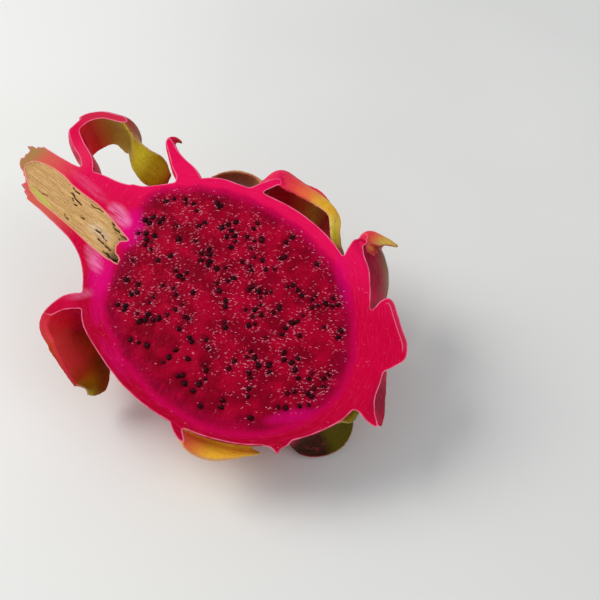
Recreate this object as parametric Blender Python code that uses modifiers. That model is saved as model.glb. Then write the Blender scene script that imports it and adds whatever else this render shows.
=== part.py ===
"""Half of a ripe dragon fruit, cut lengthwise, lying on its back with the cut face up.

Three pieces are made: the rind with its scales, the flesh with its seeds, and the woody
core of the stalk. The tables are in millimetres in the fruit's own axes: X runs from the
stalk to the navel, Y lies across the cut face, Z points out of it, and the cut is at Z = 0.
"""

import math
import random

import bmesh
import bpy
from mathutils import Matrix, Vector

MM = 0.001

# How the half lies
ROLL = math.radians(15.94)
PITCH = math.radians(12.24)
FLAT_DEPTH = 1.0

# Clearance between neighbouring pieces
GAP = 0.3

# Where the rest finds the lowest skin: along the axis, then degrees round it and their step
REST_ALONG = (-20, 45)
REST_AROUND = (-150, -30)
REST_DEGREES = 2

# Halvings in reading a table at a distance, and the step along a scale for its direction
READ_HALVINGS = 30
DIRECTION_STEP = 0.02

# Facets
ROUND_STEPS = 44
SKIN_STATIONS = 30
FLESH_STATIONS = 22
BLADE_STATIONS = 9
BACK_STATIONS = 7
BLADE_SIDES = 5
CORE_SIDES = 24
SHARP_ANGLE = math.radians(35)
WELD = 0.05

# Thickness along the edge of a scale, as a least value and as a share of its middle, and the
# least width and thickness at its tip
BLADE_EDGE = 0.8
BLADE_EDGE_SHARE = 0.5
TIP_HALF = 0.5
TIP_THICK = 0.7

# Reach of the knife and of the ground, well past the fruit
BEYOND = 150.0

# Rind: distance along the axis, radius, sideways shift of the centre
SKIN = [
    (-108, 9.4, -2.6),
    (-96, 9.9, -2.5),
    (-84, 10.8, -2.0),
    (-74, 12.8, -0.6),
    (-65, 14.5, 0.2),
    (-58, 17.8, 1.2),
    (-52, 23.0, 2.2),
    (-46, 29.6, 2.3),
    (-39, 36.4, 1.7),
    (-29, 40.0, 1.6),
    (-17, 43.0, 1.8),
    (-5, 44.2, 1.8),
    (7, 43.2, 1.5),
    (18, 39.9, 1.1),
    (28, 35.0, 0.8),
    (37, 28.4, 0.4),
    (44, 20.6, 0.0),
    (49.5, 12.2, 0.0),
    (52.4, 5.6, 0.0),
    (53.2, 0.0, 0.0),
]

# Flesh, listed the same way
FLESH = [
    (-54.2, 0.0, 16.6),
    (-53.4, 4.0, 16.2),
    (-51.5, 7.6, 15.0),
    (-48.8, 11.4, 13.4),
    (-45.8, 17.2, 10.8),
    (-42.5, 23.8, 7.2),
    (-38.5, 28.6, 4.8),
    (-32, 32.6, 3.8),
    (-23, 36.0, 3.2),
    (-12, 38.2, 2.7),
    (0, 39.0, 1.8),
    (12, 37.3, 1.0),
    (22, 33.7, 0.6),
    (31, 27.2, 0.0),
    (38, 19.4, -0.5),
    (42.8, 11.0, -0.2),
    (44.9, 4.6, 0.0),
    (45.4, 0.0, 0.0),
]

FLESH_REACH = max(radius + abs(shift) for _, radius, shift in FLESH)

# Slight unevenness of the grown skin: height, waves along and around, sway and twist of both
SWELL = 0.45
SWELL_ALONG = 0.085
SWELL_AROUND = 3
SWELL_SWAY = 1.3
SWELL_TWIST = 0.05
SWELL_FROM_RADIUS = 20.0

# Woody core of the stalk: outline on the cut face and its round section
CORE_OUTLINE = [
    (-99.0, -5.2),
    (-99.5, -3.2),
    (-98.8, -0.6),
    (-96.8, 1.0),
    (-93.5, 2.0),
    (-89.9, 2.6),
    (-85.0, 2.7),
    (-79.5, 1.8),
    (-72.8, 1.7),
    (-67.0, 1.9),
    (-62.4, 1.4),
    (-57.6, 0.5),
    (-53.0, -0.5),
    (-48.1, -1.6),
    (-50.4, -3.9),
    (-49.9, -6.4),
    (-48.6, -8.0),
    (-45.4, -9.2),
    (-44.8, -10.7),
    (-50.9, -11.5),
    (-57.0, -11.4),
    (-66.6, -10.6),
    (-76.6, -10.2),
    (-85.3, -10.1),
    (-90.8, -9.0),
    (-94.0, -8.0),
]
CORE_MIDDLE_X = -72.0
CORE_MIDDLE_Y = -4.4
CORE_LENGTH = 80.0
CORE_RADIUS = 6.9
CORE_DEPTH = 9.0
CORE_CLEARANCE = 0.5

# What is missing beyond the broken end of the stalk, seen on the cut face
STALK_END = [
    (-125, 25),
    (-97.5, 25),
    (-98.0, 9.0),
    (-99.6, 7.4),
    (-100.2, 6.3),
    (-101.6, 5.6),
    (-101.2, 4.9),
    (-103.3, 4.6),
    (-104.9, 3.3),
    (-102.9, 3.2),
    (-102.4, 1.4),
    (-102.9, 0.4),
    (-102.3, -0.8),
    (-103.1, -1.9),
    (-101.9, -3.7),
    (-100.2, -4.9),
    (-98.0, -5.4),
    (-97.2, -6.3),
    (-96.0, -6.6),
    (-94.3, -7.9),
    (-94.9, -9.7),
    (-92.7, -9.6),
    (-91.8, -11.2),
    (-90.2, -11.2),
    (-88.8, -12.7),
    (-86.0, -15.0),
    (-86, -25),
    (-125, -25),
]
STALK_END_DEPTH = 40.0

# Seeds on the cut face: most lie alone, each fourth beside a neighbour
SEED_COUNT = 116
SEED_RANDOM = 7
SEED_TRIES = 20000
SEED_SIZE = (1.15, 0.8, 0.5)
SEED_HEIGHT = 0.05
SEED_SPACING = 4.4
SEED_MARGIN = 4.5
SEED_PAIR_EACH = 4
SEED_PAIR_NEAR = 2.2
SEED_PAIR_FAR = 3.4

# Scales that the cut runs through or past. Each station gives the centre, half the width,
# the roll about the scale's own length, the bend of the width and the thickness.
SCALES = {
    "stalk_curl": [
        (-76.4, 5.8, -7.0, 8.0, 0, 0, 7.6),
        (-83.2, 12.8, -7.5, 9.0, 0, 20, 6.4),
        (-90.8, 15.6, -8.0, 10.0, 0, 30, 6.2),
        (-97.0, 19.4, -8.6, 10.8, 0, 40, 5.8),
        (-97.4, 26.6, -9.2, 11.2, 0, 50, 5.6),
        (-92.4, 33.4, -9.8, 11.0, 0, 55, 5.2),
        (-84.4, 35.7, -10.2, 10.9, 12, 70, 4.8),
        (-80.1, 34.5, -10.1, 9.0, 11, 80, 4.4),
        (-77.1, 31.1, -10.1, 6.0, 24, 30, 3.0),
        (-72.3, 28.8, -9.6, 5.6, 52, -10, 2.2),
        (-66.8, 28.2, -9.6, 6.5, 68, -25, 1.8),
        (-61.8, 28.4, -10.2, 5.6, 70, -25, 1.6),
        (-58.1, 29.4, -10.9, 2.2, 59, -10, 1.2),
    ],
    "shoulder_spike": [
        (-43.0, 26.0, -4.0, 9.0, 0, 0, 14.0),
        (-48.5, 31.5, -4.0, 8.0, 0, 0, 10.0),
        (-54.5, 33.6, -3.8, 6.5, 0, 0, 7.0),
        (-60.0, 36.2, -3.5, 5.0, 0, 0, 4.8),
        (-64.2, 39.0, -3.0, 3.6, 0, 0, 3.4),
        (-63.8, 41.4, -2.6, 1.6, 0, 0, 1.8),
        (-60.6, 42.0, -2.4, 0.6, 0, 0, 1.0),
    ],
    "rim_blade": [
        (-27.0, 35.0, -8.0, 10.0, 0, 0, 7.6),
        (-25.6, 44.0, -7.6, 10.0, -8, 10, 5.4),
        (-24.1, 55.5, -5.9, 8.8, -37, 60, 3.6),
        (-17.1, 57.0, -5.9, 9.0, -37, 70, 3.0),
        (-11.0, 57.3, -5.8, 7.7, -34, 80, 2.6),
        (-5.7, 57.7, -5.9, 6.4, -31, 80, 2.2),
        (-0.3, 57.2, -5.8, 5.5, -32, 80, 1.9),
        (4.6, 55.0, -5.7, 4.6, -33, 80, 1.7),
        (7.6, 51.2, -5.9, 4.0, -33, 70, 1.5),
        (11.0, 46.8, -5.2, 2.9, -41, 60, 1.4),
        (14.6, 43.9, -3.6, 2.0, -39, 40, 1.3),
        (17.6, 41.3, -1.2, 0.9, -49, 10, 1.0),
    ],
    "beak": [
        (34.6, 30.2, -9.0, 12.0, 14, 0, 12.0),
        (29.6, 42.4, -9.0, 12.6, 28, -10, 9.6),
        (24.2, 50.2, -8.8, 13.2, 34, -20, 7.4),
        (19.9, 54.9, -8.0, 11.4, 26, -5, 5.6),
        (19.8, 57.2, -6.4, 8.6, -10, 50, 4.2),
        (24.4, 58.0, -4.6, 5.0, -35, 70, 2.6),
        (29.8, 58.2, -2.6, 0.9, -35, 20, 1.0),
    ],
    "left_palm": [
        (-37.0, -22.0, -11.0, 14.0, 0, 0, 10.0),
        (-44.6, -27.4, -12.0, 14.0, 0, -20, 9.6),
        (-50.2, -32.0, -12.2, 14.0, 0, -30, 8.6),
        (-49.6, -39.4, -13.0, 12.8, -19, -40, 6.5),
        (-45.4, -42.2, -15.0, 13.0, -28, -50, 5.0),
        (-40.5, -44.0, -17.4, 12.2, -35, -50, 3.6),
        (-35.8, -45.6, -19.8, 10.9, -40, -50, 2.8),
        (-31.8, -47.2, -22.2, 9.4, -41, -50, 2.2),
        (-28.8, -49.3, -23.4, 6.4, -25, -40, 1.6),
        (-28.0, -52.2, -24.0, 2.2, 0, -20, 1.1),
    ],
    "lower_shelf": [
        (5.0, -33.4, -7.0, 8.5, 0, 0, 9.0),
        (10.4, -39.6, -7.2, 8.6, -10, 0, 5.4),
        (16.4, -40.2, -7.8, 8.2, -30, 10, 3.2),
        (23.0, -38.6, -7.6, 6.4, -40, 20, 2.2),
        (28.8, -35.6, -7.2, 4.4, -45, 20, 1.7),
        (33.6, -32.6, -6.4, 2.4, -45, 20, 1.3),
        (37.4, -30.4, -5.4, 0.9, -40, 0, 0.9),
    ],
    "lower_leaf": [
        (40.4, -17.8, -17.5, 9.2, 2, 20, 6.0),
        (43.8, -16.2, -17.6, 9.6, 19, 30, 4.0),
        (48.0, -12.8, -18.2, 9.6, 31, 40, 2.6),
        (50.9, -8.4, -17.2, 8.8, 36, 40, 2.0),
        (51.8, -4.0, -15.0, 6.6, 33, 30, 1.5),
        (51.2, -0.6, -12.6, 3.6, 21, 10, 1.0),
    ],
    "navel_back": [
        (53.0, 17.6, -2.7, 3.5, -18, 0, 2.6),
        (55.0, 13.4, -3.3, 4.2, -23, -20, 2.4),
        (57.3, 8.8, -3.7, 4.7, -31, -20, 2.0),
        (60.1, 4.8, -3.3, 4.0, -34, -20, 1.6),
        (63.0, 1.3, -2.1, 2.0, -26, 0, 1.1),
    ],
    "rim_leaf": [
        (-29.0, 34.0, -19.5, 9.0, 8, 20, 7.0),
        (-24.0, 47.0, -18.5, 11.0, 18, 25, 3.6),
        (-16.0, 54.6, -18.5, 11.8, 20, 25, 2.4),
        (-7.0, 57.6, -18.2, 11.4, 20, 25, 2.0),
        (2.0, 55.8, -18.4, 9.6, 18, 25, 1.8),
        (8.6, 50.8, -18.6, 6.6, 12, 25, 1.4),
        (13.0, 46.4, -18.8, 1.8, 8, 10, 0.9),
    ],
    "shoulder_leaf": [
        (-18.0, 32.0, -14.0, 7.0, 0, 20, 7.0),
        (-22.0, 42.0, -14.0, 7.4, 0, 30, 4.0),
        (-29.0, 48.6, -13.6, 7.4, 0, 40, 2.2),
        (-36.6, 48.0, -13.0, 6.0, 0, 40, 1.7),
        (-42.0, 44.4, -12.4, 3.8, 0, 30, 1.3),
        (-46.0, 40.2, -12.0, 1.0, 0, 10, 0.9),
    ],
}

# Flat lobes at the navel that the cut runs along: outline on the cut face and depth.
# Before the cut they stand above it by their top.
LOBE_TOP = 2.0
NAVEL_LOBES = {
    "navel_wing": (
        [
            (34, 24),
            (37.3, 31.3),
            (37.6, 36.0),
            (39.4, 39.2),
            (42.4, 38.6),
            (46.0, 35.8),
            (50.6, 32.4),
            (54.6, 29.2),
            (56.8, 24.8),
            (55.6, 20.4),
            (53.6, 16.4),
            (50, 8),
            (42, 8),
        ],
        5.0,
    ),
    "navel_fold": (
        [
            (46, 12),
            (53.8, 13.0),
            (55.2, 7.2),
            (58.4, 3.2),
            (63.4, 0.0),
            (59.0, -0.6),
            (54.6, 0.2),
            (51.4, -1.6),
            (46, -6),
        ],
        5.5,
    ),
    "rim_bump": (
        [
            (17, 33),
            (17.6, 40.6),
            (16.8, 44.4),
            (18.3, 45.4),
            (21.5, 44.0),
            (24, 38),
            (20, 31),
        ],
        6.0,
    ),
    "lower_point": (
        [
            (32, -22),
            (36.5, -28.0),
            (39.2, -27.1),
            (41.0, -27.3),
            (42.9, -27.5),
            (42.4, -25.4),
            (43.6, -21.6),
            (40, -14),
        ],
        5.0,
    ),
}

# Scales on the hidden round side: bend across, steps along, depth of the root in the skin,
# lean at the root, thickness at the root and at the tip, fullness and taper of the outline,
# and how soon the scale grows thin
BACK_BEND = 50
BACK_STEPS = 6
BACK_ROOT = 2.5
BACK_LEAN = math.radians(4)
BACK_THICK = 5.3
BACK_THIN = 1.1
BACK_FULLNESS = 2.2
BACK_TAPER = 0.8
BACK_THINNING = 1.5
BACK_TIP_HALF = 0.7
BACK_CURL = 1.3

# Scales on the hidden round side: place along the axis, angle behind the cut face,
# length, half width, spread of the tip from the skin
BACK_SCALES = [
    (-62, -34, 26, 8.0, 58),
    (-66, -92, 24, 7.5, 46),
    (-60, -158, 24, 7.5, 50),
    (-40, -30, 33, 10.0, 50),
    (-34, -59, 33, 10.0, 44),
    (-36, -88, 34, 11.0, 38),
    (-38, -124, 34, 11.0, 36),
    (-12, -46, 32, 11.0, 42),
    (-8, -136, 32, 11.0, 40),
    (16, -28, 30, 10.0, 44),
    (18, -64, 29, 10.0, 40),
    (20, -110, 29, 10.0, 40),
    (16, -154, 17, 8.5, 34),
    (36, -44, 24, 8.0, 40),
    (38, -88, 24, 8.0, 36),
]


def smooth_row(rows, place):
    """Read a table at a place from 0 to 1, smoothly between its rows."""
    span = place * (len(rows) - 1)
    first = min(int(span), len(rows) - 2)
    t = span - first
    last = len(rows) - 1
    a, b, c, d = (rows[min(max(first + k, 0), last)] for k in (-1, 0, 1, 2))
    row = []
    for p, q, r, s in zip(a, b, c, d):
        row.append(
            q + 0.5 * t * (r - p + t * (2 * p - 5 * q + 4 * r - s + t * (3 * (q - r) + s - p)))
        )
    return row


def swell(x, angle):
    """Height of the slight lumps of the skin."""
    wave = math.sin(SWELL_ALONG * x + SWELL_SWAY * math.sin(angle))
    return SWELL * wave * math.cos(SWELL_AROUND * angle + SWELL_TWIST * x)


def row_at(rows, x):
    """Radius and sideways shift in a table at a distance along the axis."""
    low, high = 0.0, 1.0
    for _ in range(READ_HALVINGS):
        middle = (low + high) / 2
        if smooth_row(rows, middle)[0] < x:
            low = middle
        else:
            high = middle
    _, radius, shift = smooth_row(rows, low)
    return max(radius, 0.0), shift


def on_skin(x, angle, height=0.0):
    """Point above the skin at a distance along the axis and an angle from the cut face."""
    radius, shift = row_at(SKIN, x)
    reach = radius + swell(x, angle) * min(1.0, radius / SWELL_FROM_RADIUS) + height
    return Vector((x, shift + reach * math.cos(angle), reach * math.sin(angle)))


def fruit_to_world():
    """Placing of the fruit: tilted, with the centre of its flat spot at the origin."""
    turn = Matrix.Rotation(PITCH, 4, "Y") @ Matrix.Rotation(ROLL, 4, "X")
    lowest = Vector((0, 0, 0))
    for i in range(*REST_ALONG):
        for degrees in range(*REST_AROUND, REST_DEGREES):
            point = turn @ on_skin(i, math.radians(degrees))
            if point.z < lowest.z:
                lowest = point
    lift = Vector((-lowest.x, -lowest.y, -lowest.z - FLAT_DEPTH)) * MM
    return Matrix.Translation(lift) @ turn


def clear_scene():
    """Start from an empty scene."""
    for item in list(bpy.data.objects):
        bpy.data.objects.remove(item, do_unlink=True)


def new_collection(name):
    """Make a collection in the scene."""
    group = bpy.data.collections.new(name)
    bpy.context.scene.collection.children.link(group)
    return group


def new_object(name, mesh, group):
    """Make an object of a mesh in a collection."""
    item = bpy.data.objects.new(name, mesh)
    group.objects.link(item)
    return item


def evaluated_copy(item):
    """Mesh of an object with its modifiers applied."""
    bpy.context.view_layer.update()
    graph = bpy.context.evaluated_depsgraph_get()
    return bpy.data.meshes.new_from_object(item.evaluated_get(graph))


def bake(item):
    """Apply an object's modifiers to its own mesh."""
    mesh = evaluated_copy(item)
    item.modifiers.clear()
    item.data = mesh


def tidy(mesh):
    """Weld the poles and point the faces outwards."""
    bm = bmesh.new()
    bm.from_mesh(mesh)
    bmesh.ops.remove_doubles(bm, verts=bm.verts, dist=WELD * MM)
    bmesh.ops.recalc_face_normals(bm, faces=bm.faces)
    bm.to_mesh(mesh)
    bm.free()


def turned_body(name, rows, stations, extra, group):
    """Turn a profile about the fruit's axis, then let it grow off centre and uneven."""
    bm = bmesh.new()
    previous = None
    for i in range(stations + 1):
        x, radius, _ = smooth_row(rows, i / stations)
        if i in (0, stations) and rows[0 if i == 0 else -1][1] == 0:
            radius = -extra
        vert = bm.verts.new((x * MM, max(radius + extra, 0.0) * MM, 0))
        if previous:
            bm.edges.new((previous, vert))
        previous = vert
    mesh = bpy.data.meshes.new(name)
    bm.to_mesh(mesh)
    bm.free()
    body = new_object(name, mesh, group)
    screw = body.modifiers.new("turned", "SCREW")
    screw.axis = "X"
    screw.steps = ROUND_STEPS
    screw.render_steps = ROUND_STEPS
    screw.use_merge_vertices = True
    screw.merge_threshold = WELD * MM
    bake(body)
    for vert in body.data.vertices:
        x = vert.co.x / MM
        _, shift = row_at(rows, x)
        angle = math.atan2(vert.co.z, vert.co.y)
        reach = math.hypot(vert.co.y, vert.co.z) / MM
        lump = swell(x, angle) * min(1.0, reach / SWELL_FROM_RADIUS)
        vert.co.y += (shift + lump * math.cos(angle)) * MM
        vert.co.z += lump * math.sin(angle) * MM
    bm = bmesh.new()
    bm.from_mesh(body.data)
    open_edges = [edge for edge in bm.edges if edge.is_boundary]
    if open_edges:
        bmesh.ops.holes_fill(bm, edges=open_edges, sides=0)
    bm.to_mesh(body.data)
    bm.free()
    tidy(body.data)
    return body


def blade_section(station, along):
    """Ring of points round a scale at one station."""
    x, y, z, half, roll, bend, thick = station
    side = Vector((0, 0, 1))
    side = (side - along * side.dot(along)).normalized()
    out = side.cross(along)
    turn = Matrix.Rotation(-math.radians(roll), 3, along)
    side, out = turn @ side, turn @ out
    arc = math.radians(bend) / 2
    edge = min(max(BLADE_EDGE, BLADE_EDGE_SHARE * thick), thick)
    upper, lower = [], []
    for i in range(BLADE_SIDES):
        s = 2 * i / (BLADE_SIDES - 1) - 1
        if abs(arc) > 0.01:
            across = math.sin(s * arc) / arc
            drop = (math.cos(s * arc) - 1) / arc
        else:
            across, drop = s, 0.0
        middle = Vector((x, y, z)) + side * half * across + out * half * drop
        deep = (edge + (thick - edge) * (1 - s * s)) / 2
        normal = out * math.cos(s * arc) + side * math.sin(s * arc)
        upper.append(middle + normal * deep)
        lower.append(middle - normal * deep)
    return upper + lower[::-1]


def blade(name, stations, group, count=BLADE_STATIONS):
    """Loft a scale through its stations."""
    places = [i / (count - 1) for i in range(count)]
    rows = [smooth_row(stations, t) for t in places]
    rings = []
    for t, row in zip(places, rows):
        ahead = Vector(smooth_row(stations, min(t + DIRECTION_STEP, 1.0))[:3])
        behind = Vector(smooth_row(stations, max(t - DIRECTION_STEP, 0.0))[:3])
        row[3] = max(row[3], TIP_HALF)
        row[6] = max(row[6], TIP_THICK)
        rings.append(blade_section(row, (ahead - behind).normalized()))
    bm = bmesh.new()
    loops = [[bm.verts.new(point * MM) for point in ring] for ring in rings]
    size = len(rings[0])
    for ring, following in zip(loops, loops[1:]):
        for k in range(size):
            m = (k + 1) % size
            bm.faces.new((ring[k], ring[m], following[m], following[k]))
    bm.faces.new(loops[0])
    bm.faces.new(loops[-1][::-1])
    bmesh.ops.triangulate(bm, faces=bm.faces)
    bmesh.ops.recalc_face_normals(bm, faces=bm.faces)
    mesh = bpy.data.meshes.new(name)
    bm.to_mesh(mesh)
    bm.free()
    return new_object(name, mesh, group)


def lobe(name, outline, depth, group):
    """Flat lobe behind the cut face, from its outline."""
    plate = outline_plate(name, outline, depth, group)
    for vert in plate.data.vertices:
        vert.co.z += (LOBE_TOP - depth / 2) * MM
    return plate


def outline_plate(name, outline, depth, group):
    """Plate of an outline on the cut face, half its depth to each side."""
    curve = bpy.data.curves.new(name, "CURVE")
    curve.dimensions = "2D"
    curve.fill_mode = "BOTH"
    curve.extrude = depth / 2 * MM
    line = curve.splines.new("POLY")
    line.points.add(len(outline) - 1)
    for point, (x, y) in zip(line.points, outline):
        point.co = (x * MM, y * MM, 0, 1)
    line.use_cyclic_u = True
    flat = new_object(name + "_outline", curve, group)
    mesh = evaluated_copy(flat)
    bpy.data.objects.remove(flat)
    tidy(mesh)
    return new_object(name, mesh, group)


def back_scale_stations(x, degrees, length, half, spread):
    """Stations of a scale that leaves the round side towards the navel and lifts off it."""
    angle = math.radians(degrees)
    stations = []
    point = on_skin(x, angle, -BACK_ROOT)
    for i in range(BACK_STEPS + 1):
        t = i / BACK_STEPS
        wide = half * (1 - t ** BACK_FULLNESS) ** BACK_TAPER + BACK_TIP_HALF
        thick = BACK_THIN + (BACK_THICK - BACK_THIN) * (1 - t) ** BACK_THINNING
        stations.append((point.x, point.y, point.z, wide, -degrees, BACK_BEND, thick))
        here = on_skin(point.x, angle)
        ahead = on_skin(min(point.x + 1.0, SKIN[-2][0]), angle)
        along = (ahead - here).normalized()
        out = Vector((0, math.cos(angle), math.sin(angle)))
        out = (out - along * out.dot(along)).normalized()
        lift = BACK_LEAN + math.radians(spread) * t ** BACK_CURL
        step = length / BACK_STEPS
        point = point + (along * math.cos(lift) + out * math.sin(lift)) * step
    return stations


def united(name, base, pieces):
    """Join a collection of pieces to a base with one Boolean union."""
    join = base.modifiers.new("grown_together", "BOOLEAN")
    join.operation = "UNION"
    join.operand_type = "COLLECTION"
    join.collection = pieces
    join.solver = "MANIFOLD"
    bake(base)
    for item in list(pieces.objects):
        bpy.data.objects.remove(item)
    bpy.data.collections.remove(pieces)
    base.name = name


def cut_away(item, cutter):
    """Take a cutter out of an object."""
    cut = item.modifiers.new("cut", "BOOLEAN")
    cut.operation = "DIFFERENCE"
    cut.object = cutter
    bake(item)


def kept_inside(item, limit):
    """Keep only what lies inside another solid."""
    cut = item.modifiers.new("kept", "BOOLEAN")
    cut.operation = "INTERSECT"
    cut.object = limit
    bake(item)


def box(name, low, high, group):
    """Box between two corners in millimetres."""
    mesh = bpy.data.meshes.new(name)
    bm = bmesh.new()
    bmesh.ops.create_cube(bm, size=1)
    middle = (Vector(low) + Vector(high)) / 2 * MM
    size = (Vector(high) - Vector(low)) * MM
    for vert in bm.verts:
        vert.co = Vector((vert.co.x * size.x, vert.co.y * size.y, vert.co.z * size.z)) + middle
    bm.to_mesh(mesh)
    bm.free()
    return as_cutter(new_object(name, mesh, group))


def as_cutter(item):
    """Mark an object as a cutter."""
    item.hide_render = True
    item.display_type = "WIRE"
    return item


def give_material(item, name, colour, roughness, metallic=0.0):
    """Give an object one plain material."""
    made = bpy.data.materials.new(name)
    made.use_nodes = True
    shader = made.node_tree.nodes["Principled BSDF"]
    shader.inputs["Base Color"].default_value = (*colour, 1)
    shader.inputs["Roughness"].default_value = roughness
    shader.inputs["Metallic"].default_value = metallic
    item.data.materials.clear()
    item.data.materials.append(made)


def core_solid(name, group, clearance=0.0):
    """Woody core: its outline pushed down through a round bar lying in the stalk."""
    core = outline_plate(name, CORE_OUTLINE, 2 * CORE_DEPTH, group)
    bm = bmesh.new()
    bmesh.ops.create_cone(
        bm,
        cap_ends=True,
        segments=CORE_SIDES,
        radius1=CORE_RADIUS * MM,
        radius2=CORE_RADIUS * MM,
        depth=CORE_LENGTH * MM,
        matrix=Matrix.Translation(Vector((CORE_MIDDLE_X, CORE_MIDDLE_Y, 0)) * MM)
        @ Matrix.Rotation(math.pi / 2, 4, "Y"),
    )
    mesh = bpy.data.meshes.new(name + "_bar")
    bm.to_mesh(mesh)
    bm.free()
    bar = as_cutter(new_object(name + "_bar", mesh, group))
    kept_inside(core, bar)
    bpy.data.objects.remove(bar)
    tidy(core.data)
    if clearance:
        grow = core.modifiers.new("clearance", "DISPLACE")
        grow.mid_level = 0
        grow.strength = clearance * MM
        bake(core)
    return core


def seed_places():
    """Seed centres spread over the flesh, some in clusters, by a seeded draw."""
    draw = random.Random(SEED_RANDOM)
    places = []
    for _ in range(SEED_TRIES):
        if len(places) % SEED_PAIR_EACH == SEED_PAIR_EACH - 1:
            a, b, _ = draw.choice(places)
            way = draw.uniform(0, 2 * math.pi)
            reach = draw.uniform(SEED_PAIR_NEAR, SEED_PAIR_FAR)
            x, y = a + reach * math.cos(way), b + reach * math.sin(way)
            spacing = SEED_PAIR_NEAR
        else:
            x = draw.uniform(FLESH[0][0], FLESH[-1][0])
            y = draw.uniform(-FLESH_REACH, FLESH_REACH)
            spacing = SEED_SPACING
        clear = all(math.hypot(x - a, y - b) >= spacing for a, b, _ in places)
        if clear and inside_flesh(x, y, SEED_MARGIN):
            places.append((x, y, draw.uniform(0, math.pi)))
        if len(places) == SEED_COUNT:
            break
    return places


def inside_flesh(x, y, margin):
    """Whether a point on the cut face lies in the flesh, clear of its edge."""
    low, high = FLESH[0][0], FLESH[-1][0]
    radius, shift = row_at(FLESH, x)
    return low + margin < x < high - margin and abs(y - shift) < radius - margin


def make_seeds(group):
    """Seeds as low beads, half sunk in the cut face."""
    for k, (x, y, turn) in enumerate(seed_places()):
        bm = bmesh.new()
        bmesh.ops.create_icosphere(bm, subdivisions=1, radius=MM)
        bmesh.ops.transform(
            bm,
            verts=bm.verts,
            matrix=Matrix.Translation(Vector((x, y, SEED_HEIGHT)) * MM)
            @ Matrix.Rotation(turn, 4, "Z")
            @ Matrix.Diagonal((*SEED_SIZE, 1)),
        )
        mesh = bpy.data.meshes.new(f"seed_{k}")
        bm.to_mesh(mesh)
        bm.free()
        new_object(f"seed_{k}", mesh, group)


def make_rind(parts, cutters):
    """Half peel with its scales, open along the cut and round the stalk's core."""
    rind = turned_body("rind", SKIN, SKIN_STATIONS, 0.0, parts)
    scales = new_collection("scales")
    for name, stations in SCALES.items():
        blade(name, stations, scales, max(BLADE_STATIONS, len(stations)))
    for k, row in enumerate(BACK_SCALES):
        blade(f"back_{k}", back_scale_stations(*row), scales, BACK_STATIONS)
    for name, (outline, depth) in NAVEL_LOBES.items():
        lobe(name, outline, depth, scales)
    united("rind", rind, scales)
    hollow = as_cutter(turned_body("hollow", FLESH, FLESH_STATIONS, GAP, cutters))
    cut_away(rind, hollow)
    bpy.data.objects.remove(hollow)
    cut_away(rind, cutters.objects["core_room"])
    cut_away(rind, cutters.objects["knife"])
    cut_away(rind, cutters.objects["stalk_end"])
    return rind


def make_flesh(parts, cutters):
    """Half body of flesh with seeds standing a little proud of the cut."""
    flesh = turned_body("flesh", FLESH, FLESH_STATIONS, 0.0, parts)
    cut_away(flesh, cutters.objects["knife"])
    seeds = new_collection("seeds")
    make_seeds(seeds)
    united("flesh", flesh, seeds)
    cut_away(flesh, cutters.objects["core_room"])
    return flesh


def make_core(parts, cutters):
    """Woody core of the stalk, halved by the cut."""
    core = core_solid("stalk_core", parts)
    cut_away(core, cutters.objects["knife"])
    return core


def main():
    """Build the half fruit."""
    clear_scene()
    parts = new_collection("dragon_fruit_half")
    cutters = new_collection("cutters")
    box("knife", (-BEYOND, -BEYOND, 0), (BEYOND, BEYOND, BEYOND), cutters)
    as_cutter(core_solid("core_room", cutters, CORE_CLEARANCE))
    as_cutter(outline_plate("stalk_end", STALK_END, 2 * STALK_END_DEPTH, cutters))
    rind = make_rind(parts, cutters)
    flesh = make_flesh(parts, cutters)
    core = make_core(parts, cutters)
    give_material(rind, "rind_skin", (0.72, 0.03, 0.16), 0.45)
    give_material(flesh, "flesh", (0.42, 0.0, 0.07), 0.3)
    give_material(core, "stalk_wood", (0.55, 0.4, 0.2), 0.85)
    place = fruit_to_world()
    ground = box("ground", (-BEYOND, -BEYOND, -BEYOND), (BEYOND, BEYOND, 0), cutters)
    ground.data.transform(place.inverted())
    cut_away(rind, ground)
    axis = bpy.data.objects.new("fruit_axis", None)
    parts.objects.link(axis)
    axis.matrix_world = place
    for item in (rind, flesh, core):
        item.parent = axis
        item.data.shade_smooth()
        item.data.set_sharp_from_angle(angle=SHARP_ANGLE)


if __name__ == "__main__":
    main()
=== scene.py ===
"""Looks of a ripe dragon fruit half, cut lengthwise and lying on its back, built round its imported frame.

Lengths in the tables are millimetres in the fruit's own axes: X runs from the stalk to the navel, Y lies
across the cut face, Z points out of it, and the cut is at Z = 0.
"""

import logging
import math
import random
from contextlib import contextmanager
from dataclasses import dataclass, field
from enum import Enum
from typing import Any, Iterable, Iterator, Optional, Sequence

import bmesh
import bpy
import numpy as np
from mathutils import Matrix, Vector, noise
from mathutils.kdtree import KDTree


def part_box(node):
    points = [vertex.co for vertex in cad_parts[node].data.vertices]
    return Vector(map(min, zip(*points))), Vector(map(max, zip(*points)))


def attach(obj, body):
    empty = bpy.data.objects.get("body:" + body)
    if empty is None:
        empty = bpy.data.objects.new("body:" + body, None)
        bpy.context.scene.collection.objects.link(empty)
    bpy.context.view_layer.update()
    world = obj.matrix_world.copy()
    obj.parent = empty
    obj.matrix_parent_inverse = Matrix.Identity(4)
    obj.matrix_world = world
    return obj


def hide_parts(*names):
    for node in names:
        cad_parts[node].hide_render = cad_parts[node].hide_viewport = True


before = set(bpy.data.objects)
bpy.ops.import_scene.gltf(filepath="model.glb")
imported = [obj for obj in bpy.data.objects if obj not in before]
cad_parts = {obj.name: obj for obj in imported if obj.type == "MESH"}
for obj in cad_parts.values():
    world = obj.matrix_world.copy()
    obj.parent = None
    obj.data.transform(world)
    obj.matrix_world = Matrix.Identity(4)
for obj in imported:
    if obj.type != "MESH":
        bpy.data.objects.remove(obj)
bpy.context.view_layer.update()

MM = 0.001
BODY = "root"
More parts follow.
